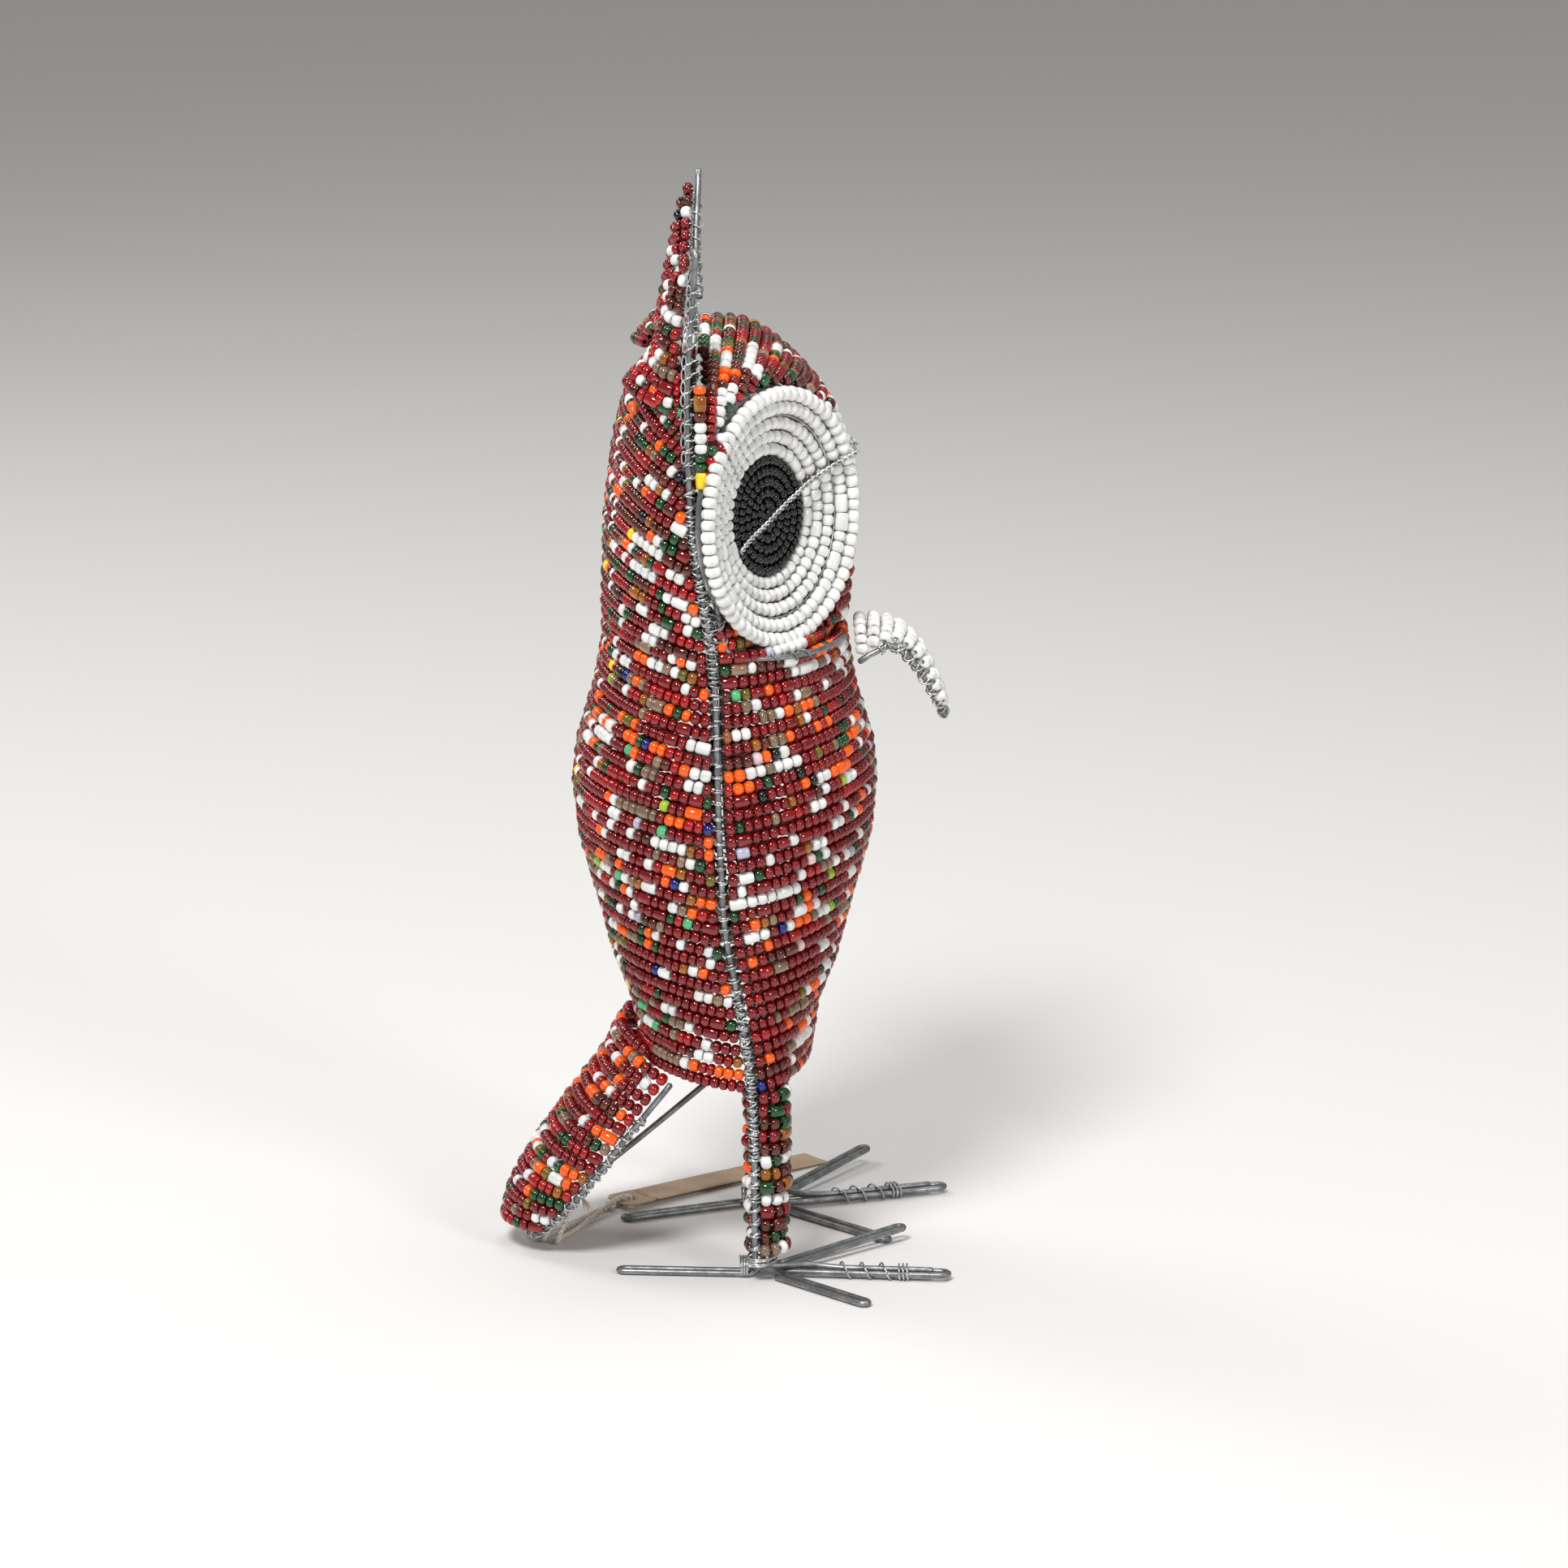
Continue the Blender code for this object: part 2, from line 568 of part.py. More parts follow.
def make_beak():
    route = hairpin(BEAK_EDGE, *BEAK_TIP, 2.2)
    wire("beak_wire", smooth_steps(route, 8.0), FRAME_WIRE_R, "galvanised_wire")
    edge = [(x + 0.2, y - 1.0, z + 2.0) for x, y, z in BEAK_EDGE]
    edge[0] = (edge[0][0], edge[0][1] - 6.6, edge[0][2] + 3.6)
    rows = arch_rows(edge, BEAK_TOP[1:-1], 7, 7, 1.5, 0.8)
    shell("beak_beads", rows, 2.4, "white_beads")


def make_tail():
    route = hairpin(TAIL_EDGE, *TAIL_TIP, 7.0)
    wire("tail_wire", smooth_steps(route, 12.0), FRAME_WIRE_R, "galvanised_wire")
    edge = [*TAIL_EDGE[:-1], (17.5, 57.5, 10.4)]
    rows = arch_rows(edge, TAIL_TOP, 10, 11, BEAD_DIAMETER / 2, EDGE_MARGIN)
    shell("tail_beads", rows, BEAD_DIAMETER - 0.4, "red_beads")
    wire("tail_brace", smooth(TAIL_BRACE, 2), FRAME_WIRE_R, "galvanised_wire")


# Legs and feet --------------------------------------------------------------------------------------


def make_leg(word, side):
    """The sleeve of beads round the leg wires, open where the side rib runs down it."""
    slot = LEG_SLOT_ANGLE if side > 0 else math.pi - LEG_SLOT_ANGLE
    rows = []
    for z in (LEG_FOOT_Z, (LEG_FOOT_Z + LEG_TOP_Z) / 2, LEG_TOP_Z):
        angles = np.linspace(slot + LEG_SLOT_HALF, slot + 2 * math.pi - LEG_SLOT_HALF, 13)
        rows.append([(side * LEG_CENTRE[0] + LEG_BEAD_RING_R * math.cos(a),
                      LEG_CENTRE[1] + LEG_BEAD_RING_R * math.sin(a), z) for a in angles])
    shell(f"{word}_leg_beads", rows, BEAD_DIAMETER - 0.2, "brown_beads")


def toe_loop(start, tip, half_gap, z_start, z_tip):
    """A flat hairpin from start to tip and back, its two runs half_gap from the line."""
    start, tip = np.array(start, float), np.array(tip[:2], float)
    length = np.linalg.norm(tip - start)
    along = (tip - start) / length
    side = np.array([-along[1], along[0]])

    def at(distance, offset):
        z = z_start + (z_tip - z_start) * distance / length
        return (*(start + along * distance + side * offset), z)

    bend = half_gap + 0.2
    end = length - FRAME_WIRE_R
    runs = [0.0, length * 0.5, end - 2.2 * bend]
    left = [at(d, half_gap) for d in runs]
    right = [at(d, -half_gap) for d in reversed(runs)]
    turn = [at(end - 0.7 * bend, half_gap * 0.95), at(end, half_gap * 0.35), at(end, -half_gap * 0.35),
            at(end - 0.7 * bend, -half_gap * 0.95)]
    return [*left, *turn, *right]


def leg_toe(name, side, tip, forward, half_gap, z):
    """A toe whose two ends run up inside the leg's beads, to the foot of the body."""
    root, along, _ = toe_line(side, tip, -forward * TOE_BEND_LENGTH)
    route = toe_loop(root, tip, half_gap, z, z + tip[2])
    for end_sign in (1, -1):
        x = side * LEG_CENTRE[0] + math.copysign(CORE_OFFSET, end_sign * -along[1])
        y = LEG_CENTRE[1] + forward * CORE_OFFSET
        up = [(x + side * lean_x, y + lean_y, lean_z) for lean_x, lean_y, lean_z in CORE_LEAN]
        bend = [(x, y, 6.6), (x, y + forward * 1.4, z + 1.7), (x, y + forward * 3.6, z + 0.1)]
        route = [*up, *bend, *route] if end_sign > 0 else [*route, *reversed(bend), *reversed(up)]
    points = smooth_steps(route, 12.0)
    points[:, 2] = np.maximum(points[:, 2], z)
    wire(name, points, FRAME_WIRE_R, "galvanised_wire", up_at=len(points) // 2)


def make_foot(word, side, toes):
    ankle = np.array([side * LEG_CENTRE[0], LEG_CENTRE[1]])
    leg_toe(f"{word}_back_toe", side, toes["back"], 1, TOE_HALF_GAP, FLAT_TO_AXIS)
    leg_toe(f"{word}_middle_toe", side, toes["middle"], -1, MIDDLE_TOE_HALF_GAP, MIDDLE_TOE_Z)
    for which in ("outer", "inner"):
        tip = toes[which]
        along = (np.array(tip[:2]) - ankle) / np.linalg.norm(np.array(tip[:2]) - ankle)
        start = ankle + along * TOE_START
        z_start = FLAT_TO_AXIS + min(tip[2], 1.2)
        route = toe_loop(start, tip, TOE_HALF_GAP, z_start, FLAT_TO_AXIS + tip[2])
        points = smooth_steps(route, 14.0)
        wire(f"{word}_{which}_toe", points, FRAME_WIRE_R, "galvanised_wire", up_at=len(points) // 2)


def make_toe_binding(word, side, tip):
    """Thin wire round the middle toe's hairpin and the rib on it: open turns, then tight ones."""
    root, along, _ = toe_line(side, tip, TOE_BEND_LENGTH)
    cross = np.array([-along[1], along[0]])
    half_width = MIDDLE_TOE_HALF_GAP + FRAME_WIRE_R + CLEARANCE + BINDING_WIRE_R
    low, high = BINDING_WIRE_R, RIB_ON_TOE_Z + FRAME_WIRE_R + CLEARANCE + BINDING_WIRE_R
    open_turns, tight_turns, per_turn = 3, 3, 10
    points = []
    for i in range((open_turns + tight_turns) * per_turn + 1):
        turn = i / per_turn
        distance = 14.0 + 6.4 * min(turn, open_turns) + 1.3 * max(0.0, turn - open_turns)
        wide, tall = math.cos(2 * math.pi * turn), math.sin(2 * math.pi * turn)
        offset = half_width * math.copysign(abs(wide) ** 0.5, wide)
        z = (low + high) / 2 + (high - low) / 2 * math.copysign(abs(tall) ** 0.5, tall)
        points.append((*(root + along * distance + cross * offset), z))
    wire(f"{word}_toe_binding", points, BINDING_WIRE_R, "galvanised_wire", sides=4)


def make_ankle_binding(word, side):
    """Three turns of thin wire round the leg wires and the side rib."""
    slot = LEG_SLOT_ANGLE if side > 0 else math.pi - LEG_SLOT_ANGLE
    toward = np.array([math.cos(slot), math.sin(slot)])
    cross = np.array([-toward[1], toward[0]])
    centre = np.array([side * LEG_CENTRE[0], LEG_CENTRE[1]]) + toward * 3.0
    points = []
    per_turn, turns = 12, 2.5
    for i in range(int(per_turn * turns) + 1):
        angle = 2 * math.pi * i / per_turn
        xy = centre + toward * 6.8 * math.cos(angle) + cross * 4.6 * math.sin(angle)
        points.append((*xy, ANKLE_BINDING_Z + 0.75 * i / per_turn))
    wire(f"{word}_ankle_binding", points, BINDING_WIRE_R, "galvanised_wire", sides=4)


# Tag ------------------------------------------------------------------------------------------------


def make_tag():
    """A blank card with a hole, its string end a little off the surface, and the loop of string."""
    tie = bpy.data.objects.new("tag_tie", None)
    tie.location = owl((*STRING_TIE, 0.0))
    bpy.context.scene.collection.objects.link(tie)
    bpy.context.view_layer.update()
    along = np.array([math.cos(TAG_DIRECTION), math.sin(TAG_DIRECTION)])
    cross = np.array([-along[1], along[0]])
    hole = np.array(TAG_HOLE)
    far = TAG_LENGTH - TAG_HOLE_FROM_END
    near, half = -TAG_HOLE_FROM_END, TAG_WIDTH / 2
    square = 4.2
    outline = [(near, -half + 2.5), (near, 0), (near, half - 2.5), (near + 2.5, half), (square, half),
               (far, half), (far, -half), (square, -half), (near + 2.5, -half)]
    count = 12
    ring = [(TAG_HOLE_R * math.cos(2 * math.pi * k / count), TAG_HOLE_R * math.sin(2 * math.pi * k / count))
            for k in range(count)]

    def at(distance, offset, above):
        z = TAG_LIFT * (1 - distance / far) + above
        return (*(hole + along * distance + cross * offset), z)

    shape = bmesh.new()
    for points in (outline, ring):
        corners = [shape.verts.new(owl(at(*p, 0.0))) for p in points]
        for a, b in zip(corners, [*corners[1:], corners[0]]):
            shape.edges.new((a, b))
    bmesh.ops.triangle_fill(shape, edges=shape.edges[:], use_beauty=True)
    top = bmesh.ops.extrude_face_region(shape, geom=shape.faces[:])
    moved = [v for v in top["geom"] if isinstance(v, bmesh.types.BMVert)]
    bmesh.ops.translate(shape, verts=moved, vec=(0, 0, TAG_THICKNESS * MM))
    bmesh.ops.recalc_face_normals(shape, faces=shape.faces)
    mesh = bpy.data.meshes.new("tag_card")
    shape.to_mesh(mesh)
    shape.free()
    add_object("tag_card", mesh, "kraft_paper", tie)

    curve = bpy.data.curves.new("tag_string", "CURVE")
    curve.dimensions = "3D"
    curve.bevel_depth = STRING_R * MM
    curve.bevel_resolution = 2
    curve.use_fill_caps = True
    route = smooth(STRING_ROUTE, STRING_POINTS)
    spline = curve.splines.new("POLY")
    spline.points.add(len(route) - 1)
    for point, place in zip(spline.points, route):
        point.co = (*owl(place), 1.0)
    add_object("tag_string", curve, "cotton", tie)


def main():
    make_side_rib("right_side_rib", -1, RIGHT_EAR_TIP, RIGHT_TOES["middle"])
    make_side_rib("left_side_rib", 1, LEFT_EAR_TIP, LEFT_TOES["middle"])
    make_inner_frame()
    make_body()
    make_head_back()
    make_head_top()
    make_crown()
    make_face()
    for word, side, ear_tip, toes in (("right", -1, RIGHT_EAR_TIP, RIGHT_TOES),
                                      ("left", 1, LEFT_EAR_TIP, LEFT_TOES)):
        make_ear(f"{word}_ear_beads", side, ear_tip)
        make_eye(word, side)
        make_leg(word, side)
        make_foot(word, side, toes)
        make_toe_binding(word, side, toes["middle"])
        make_ankle_binding(word, side)
    make_beak()
    make_tail()
    make_tag()


clear_scene()
MATERIALS = {name: make_material(name) for name in COLOURS}
main()
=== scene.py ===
"""Looks of the beaded wire owl: glass beads on binding wire over a frame of galvanised wire.

Lengths in the tables are millimetres, across from the owl's middle plane, as in the CAD source. The owl
faces -Y, and its own right side is -X.
"""

import math

import bpy
import numpy as np
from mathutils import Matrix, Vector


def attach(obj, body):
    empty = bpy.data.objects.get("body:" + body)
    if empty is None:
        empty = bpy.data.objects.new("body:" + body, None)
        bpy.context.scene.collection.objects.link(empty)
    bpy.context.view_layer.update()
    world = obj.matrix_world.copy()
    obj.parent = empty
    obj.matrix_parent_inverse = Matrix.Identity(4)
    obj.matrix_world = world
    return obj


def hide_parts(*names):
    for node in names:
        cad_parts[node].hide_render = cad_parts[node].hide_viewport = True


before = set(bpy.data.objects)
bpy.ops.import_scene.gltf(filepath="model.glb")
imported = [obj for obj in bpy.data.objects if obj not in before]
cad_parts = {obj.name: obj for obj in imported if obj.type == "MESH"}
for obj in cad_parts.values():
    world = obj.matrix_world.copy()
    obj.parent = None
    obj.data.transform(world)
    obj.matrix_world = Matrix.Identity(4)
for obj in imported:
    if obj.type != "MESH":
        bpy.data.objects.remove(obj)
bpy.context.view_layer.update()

MM = 0.001
TAU = 2 * math.pi
MIDLINE_X = -9.28
RANDOM = np.random.default_rng(41)

FRAME_WIRE_R = 1.0
THIN_WIRE_R = 0.31
BEAD_R = 2.04
BEAD_LENGTH = 3.1
ROW_PITCH = 4.2
EDGE_MARGIN = 2.0

# The frame and the silhouette, as in the CAD source ---------------------------------------------------

RIB_HEAD_TO_ANKLE = [
    (61.0, 10.6, 272.0), (62.5, 9.6, 252.0), (61.5, 7.5, 236.0), (56.5, 4.2, 214.0), (53.5, 2.6, 197.0),
    (57.0, 1.8, 176.0), (58.5, 1.4, 157.0), (57.0, 0.6, 138.0), (52.5, -0.6, 118.0), (46.5, -5.0, 92.0),
    (42.8, -8.0, 70.0), (42.4, -9.3, 50.0), (42.5, -9.7, 30.0), (42.5, -9.7, 7.8),
]
EAR_OUTER = [(59.0, 10.8, 287.0), (57.8, 10.2, 305.0)]
EAR_INNER = [(44.5, 9.4, 318.0), (35.0, 8.6, 309.0), (30.5, 8.0, 305.8)]
EAR_TIP_BEND = 2.4
EAR_TIPS = {-1: (56.0, 8.2, 335.0), 1: (56.5, 8.8, 344.9)}
BODY_DEPTH = [
    (64.0, 28.0), (85.0, 31.0), (100.0, 37.0), (118.0, 41.6), (140.0, 47.7), (157.0, 49.4), (169.0, 48.2),
    (188.0, 42.5), (204.0, 39.7), (225.0, 39.5),
]
HEAD_BACK = [(39.5, 218.0), (39.3, 232.0), (38.0, 251.0), (35.3, 270.0), (31.0, 285.5), (24.5, 295.0)]
HEAD_TOP = [(20.0, 299.2), (13.0, 303.6), (6.6, 305.6)]
CROWN = [(2.0, 306.0), (-5.5, 305.2), (-12.0, 302.5), (-18.0, 298.0), (-24.0, 292.5), (-30.0, 286.0),
         (-35.0, 279.5)]
BODY_BOTTOM_Z = 64.5
NECK_Z = 204.0
BACK_RISE = [(60.0, 3.0), (110.0, 8.0), (160.0, 8.5), (204.0, 9.0)]
FRONT_RISE = [(60.0, 3.0), (110.0, 8.0), (160.0, 8.5), (190.0, 4.5), (204.0, 2.0)]

EYE_CENTRE = (36.5, -18.3, 248.5)
EYE_TURN = math.radians(35.5)
EYE_TILT = math.radians(3.0)
EYE_RIM_R = 38.7
EYE_DISH = [(19.8, 6.2), (23.5, 5.2), (27.5, 3.8), (32.0, 2.2), (36.0, 0.7)]
PUPIL_DEPTH = 6.4

BEAK_EDGE = [(13.0, -43.0, 197.2), (12.2, -47.5, 199.8), (10.5, -54.0, 201.6), (7.6, -61.8, 194.0),
             (4.6, -67.0, 185.0)]
BEAK_TIP = (-70.5, 177.6)
BEAK_TOP = [(-43.0, 210.6), (-47.4, 211.0), (-56.5, 208.0), (-64.4, 200.0), (-69.6, 189.0), (-71.8, 182.0)]
TAIL_EDGE = [(27.0, 17.5, 61.0), (27.5, 33.5, 41.1), (26.0, 41.4, 30.1), (22.0, 50.8, 18.2),
             (14.0, 60.0, 7.6)]
TAIL_TIP = (64.6, 3.9)
TAIL_TOP = [(37.5, 73.0), (40.7, 66.5), (51.4, 52.0), (64.9, 33.0), (72.3, 19.0), (74.2, 10.5)]
TAIL_BRACE = [(0.0, 6.0, 54.0), (0.0, 32.0, 31.9), (0.0, 58.5, 10.6)]

LEG_CENTRE = (36.5, -13.6)
LEG_RING_R = 5.7
LEG_SLOT_ANGLE = math.radians(33.0)
CORE_OFFSET = 1.35
CORE_LEAN = [(-5.5, 5.0, 76.0), (-3.6, 3.4, 69.5), (-0.9, 0.9, 64.2), (0.0, 0.0, 58.0), (0.0, 0.0, 30.0)]
TOE_HALF_GAP = 1.6
MIDDLE_TOE_HALF_GAP = 2.2
MIDDLE_TOE_Z = 1.85
RIB_ON_TOE_Z = 2.9
TOE_BEND_LENGTH = 9.0
TOE_START = 9.0
TOES = {
    -1: {"back": (-34.0, 35.0, 0.0), "middle": (-41.0, -72.7, 0.0), "outer": (-68.5, -46.0, 0.0),
         "inner": (1.0, -58.6, 3.4)},
    1: {"back": (20.0, 35.0, 0.0), "middle": (53.0, -73.7, 0.0), "outer": (88.4, -47.5, 3.6),
        "inner": (-3.5, -53.7, 0.0)},
}

TAG_HOLE = (38.0, 33.0)
TAG_DIRECTION = math.atan2(-67.6, 55.0)
TAG_LENGTH = 87.0
TAG_WIDTH = 14.0
TAG_HOLE_R = 2.4
TAG_HOLE_FROM_END = 5.5
TAG_LIFT = 1.75
TAG_CORNER = 2.5
HOLE_SQUARE = 6.5
STRING_ROUTE = [
    (-1.2, 47.9, 17.6), (-3.4, 50.6, 12.5), (-6.0, 53.5, 6.0), (-6.2, 55.2, 1.8), (-1.5, 54.6, 0.75),
    (6.0, 50.8, 0.75), (16.0, 46.6, 0.8), (26.0, 41.6, 1.6), (32.6, 37.6, 3.0), (36.2, 34.0, 3.3),
    (38.2, 32.6, 2.3), (38.4, 33.6, 1.05), (36.4, 36.6, 0.75), (31.0, 41.4, 0.75), (22.0, 47.0, 0.75),
    (12.0, 52.4, 0.75), (3.0, 58.0, 0.75), (-3.6, 59.6, 1.6), (-5.6, 57.4, 6.0), (-3.9, 53.2, 12.0),
    (-1.7, 49.9, 16.9),
]

STRING_KNOTS = [((31.5, 39.2, 1.9), 1.15), ((-1.6, 48.9, 16.6), 1.05)]
FRAYED_ENDS = [((-2.4, 49.4, 17.4), (-6.0, 1.6, -1.2)), ((-2.2, 47.8, 16.2), (-5.0, -3.4, -3.0))]

# Only in the looks: rows and wires that the CAD has no node of their own for ---------------------------

TAIL_ROOT = [((24.5, 14.0, 71.0), (31.5, 79.0)), ((26.0, 16.0, 66.4), (34.0, 75.2))]
UNDER_EYE_ROWS = [(207.2, -33.3), (211.2, -19.6), (215.2, -16.2)]
TEMPLE_ROWS = [
    [(60.6, 6.9, 294.0), (61.4, 6.6, 280.0), (62.2, 6.2, 262.0)], [(61.2, 3.0, 275.6), (62.8, 3.4, 259.0)],
    [(59.0, -0.2, 279.0), (60.4, 0.3, 272.0)],
]
TEMPLE_WIRE = [
    (59.4, 4.9, 263.0), (61.0, 5.2, 252.0), (60.2, 3.6, 238.0), (57.4, 1.6, 222.0), (54.4, -1.2, 210.0),
    (53.0, -6.0, 207.0), (49.0, -16.5, 206.2), (41.5, -26.4, 206.2), (31.0, -33.6, 206.4),
    (20.0, -38.2, 206.8),
]
EYE_RIM_BEAD_R = 2.5
EYE_RINGS = [(34.2, 2.25), (29.3, 2.12), (25.1, 2.12), (21.0, 2.1)]
EYE_SEAM = math.radians(22)
PUPIL_RINGS = (17.4, 14.0, 10.6, 7.2, 3.9, 1.2)
EYE_TWIST = [
    (-19.5, -8.2, -1.8), (-14.0, -5.6, -2.6), (-4.0, -1.6, -2.8), (6.0, 3.0, -2.6), (19.0, 8.6, -1.6),
    (28.0, 12.0, 0.4), (34.0, 14.2, 2.8), (37.5, 15.4, 3.4),
]

# Lowest and highest point, pitch, room to the wire, starting angle, hand and unevenness of each coil.
RIB_COILS = [
    (8.0, 100.0, 4.3, 0.0, 0.4, 1, 0.35), (40.0, 96.0, 3.1, 0.2, 2.0, -1, 0.5),
    (192.0, 262.0, 3.0, 0.25, 1.0, -1, 0.6), (205.0, 268.0, 4.6, 0.1, 1.0, 1, 0.4),
]

WORDS = {-1: "right", 1: "left"}


# Curves -----------------------------------------------------------------------------------------------


def fine_curve(points, steps=24):
    """A Catmull-Rom curve through the points, in short steps."""
    p = np.array(points, float)
    ends = np.vstack([2 * p[0] - p[1], p, 2 * p[-1] - p[-2]])
    fine = []
    for a, b, c, d in zip(ends, ends[1:], ends[2:], ends[3:]):
        for t in np.linspace(0, 1, steps, endpoint=False):
            fine.append(0.5 * (2 * b + (c - a) * t + (2 * a - 5 * b + 4 * c - d) * t**2
                               + (3 * b - a - 3 * c + d) * t**3))
    return np.array([*fine, p[-1]])


def sampled(fine, cost, count):
    run = np.concatenate([[0], np.cumsum(cost)])
    wanted = np.linspace(0, run[-1], count)
    return np.column_stack([np.interp(wanted, run, fine[:, i]) for i in range(fine.shape[1])])


def lengths(points):
    return np.linalg.norm(np.diff(points, axis=0), axis=1)


def smooth(points, count):
    """count points, evenly spaced by length, on a smooth curve through the given ones."""
    fine = fine_curve(points)
    return sampled(fine, lengths(fine), count)


def smooth_steps(points, step, bend=math.radians(14)):
    """Points a step apart, closer where the curve bends."""
    fine = fine_curve(points)
    run = np.diff(fine, axis=0)
    length = np.linalg.norm(run, axis=1)
    ways = run / np.maximum(length, 1e-9)[:, None]
    turn = np.arccos(np.clip((ways[1:] * ways[:-1]).sum(axis=1), -1, 1))
    cost = length / step + np.concatenate([[0], turn]) / bend
    return sampled(fine, cost, 2 * max(1, round(cost.sum() / 2)) + 1)


def from_table(table, value):
    return float(np.interp(value, [row[0] for row in table], [row[1] for row in table]))


def mirrored(points, side):
    return [(side * p[0], p[1], p[2]) for p in points]


def unit(v):
    return v / np.maximum(np.linalg.norm(v, axis=-1, keepdims=True), 1e-9)


def frames(points, closed=False):
    """Tangents, and normals carried along them without twist."""
    p = np.asarray(points, float)
    if closed:
        tangents = unit(np.roll(p, -1, axis=0) - np.roll(p, 1, axis=0))
    else:
        tangents = unit(np.gradient(p, axis=0))
    start = np.array([0, 0, 1.0]) if abs(tangents[0][2]) < 0.9 else np.array([0, 1.0, 0])
    normal = unit(start - tangents[0] * (start @ tangents[0]))
    normals = []
    for tangent in tangents:
        normal = unit(normal - tangent * (normal @ tangent))
        normals.append(normal)
    return tangents, np.array(normals)


def coil_round(path, pitch, radius, per_turn=9, start=0.0, hand=1, wobble=0.0):
    """A thin wire's route round a thicker one."""
    total = lengths(path).sum()
    turns = total / pitch
    count = int(turns * per_turn) + 2
    base = sampled(path, lengths(path), count)
    tangents, normals = frames(base)
    side = np.cross(tangents, normals)
    angle = start + hand * TAU * np.linspace(0, turns, count)
    if wobble:
        knots = max(3, int(turns * 2))
        angle = angle + np.interp(np.arange(count), np.linspace(0, count - 1, knots),
                                  RANDOM.normal(0, wobble, knots))
        radius = radius + np.abs(np.interp(np.arange(count), np.linspace(0, count - 1, knots),
                                           RANDOM.normal(0, 0.16, knots)))[:, None]
    return base + radius * (np.cos(angle)[:, None] * normals + np.sin(angle)[:, None] * side)


# Materials --------------------------------------------------------------------------------------------

TILES = 8
VARIANTS = 4
# Name: colour, and how far light goes into the glass. The order sets each colour's place on the UV grid.
# The second value also sets how deep the painted end shade and how strong the painted light are.
GLASS = {
    "red": ((0.175, 0.0008, 0.0022), 1.0),
    "bright_red": ((0.310, 0.0020, 0.0030), 1.0),
    "brown": ((0.085, 0.0085, 0.0030), 1.0),
    "white": ((0.86, 0.86, 0.84), 0.0),
    "orange": ((0.95, 0.115, 0.002), 0.0),
    "green": ((0.005, 0.048, 0.010), 1.0),
    "clear": ((0.235, 0.145, 0.090), 1.0),
    "amber": ((0.300, 0.085, 0.004), 1.0),
    "olive": ((0.150, 0.105, 0.005), 1.0),
    "navy": ((0.005, 0.012, 0.170), 0.4),
    "black": ((0.002, 0.002, 0.0025), 0.0),
    "yellow": ((0.95, 0.68, 0.020), 0.0),
    "mint": ((0.10, 0.45, 0.20), 0.0),
    "lime": ((0.36, 0.52, 0.035), 0.2),
    "lilac": ((0.42, 0.40, 0.50), 0.3),
    "pale_pink": ((0.80, 0.55, 0.55), 0.0),
}
GLASS_NAMES = list(GLASS)


def new_material(name, roughness, metallic=0.0):
    material = bpy.data.materials.new(name)
    material.use_nodes = True
    shader = material.node_tree.nodes["Principled BSDF"]
    shader.inputs["Roughness"].default_value = roughness
    shader.inputs["Metallic"].default_value = metallic
    return material, shader


class Graph:
    """Short ways to add shader nodes."""

    def __init__(self, material):
        self.tree = material.node_tree

    def node(self, kind, inputs=(), **settings):
        made = self.tree.nodes.new(kind)
        for key, value in settings.items():
            setattr(made, key, value)
        for key, value in dict(inputs).items():
            if isinstance(value, bpy.types.NodeSocket):
                self.tree.links.new(value, made.inputs[key])
            else:
                made.inputs[key].default_value = value
        return made

    def math(self, operation, a, b=0.0):
        return self.node("ShaderNodeMath", {0: a, 1: b}, operation=operation).outputs[0]

    def span(self, value, low, high, to_low=0.0, to_high=1.0):
        """A smooth step of value between two limits."""
        made = self.node("ShaderNodeMapRange", {"Value": value, "From Min": low, "From Max": high,
                                                "To Min": to_low, "To Max": to_high},
                         interpolation_type="SMOOTHSTEP")
        return made.outputs["Result"]

    def mix(self, factor, a, b, blend="MIX"):
        made = self.node("ShaderNodeMix", data_type="RGBA", blend_type=blend)
        for key, value in ((0, factor), (6, a), (7, b)):
            if isinstance(value, bpy.types.NodeSocket):
                self.tree.links.new(value, made.inputs[key])
            else:
                made.inputs[key].default_value = value
        return made.outputs[2]


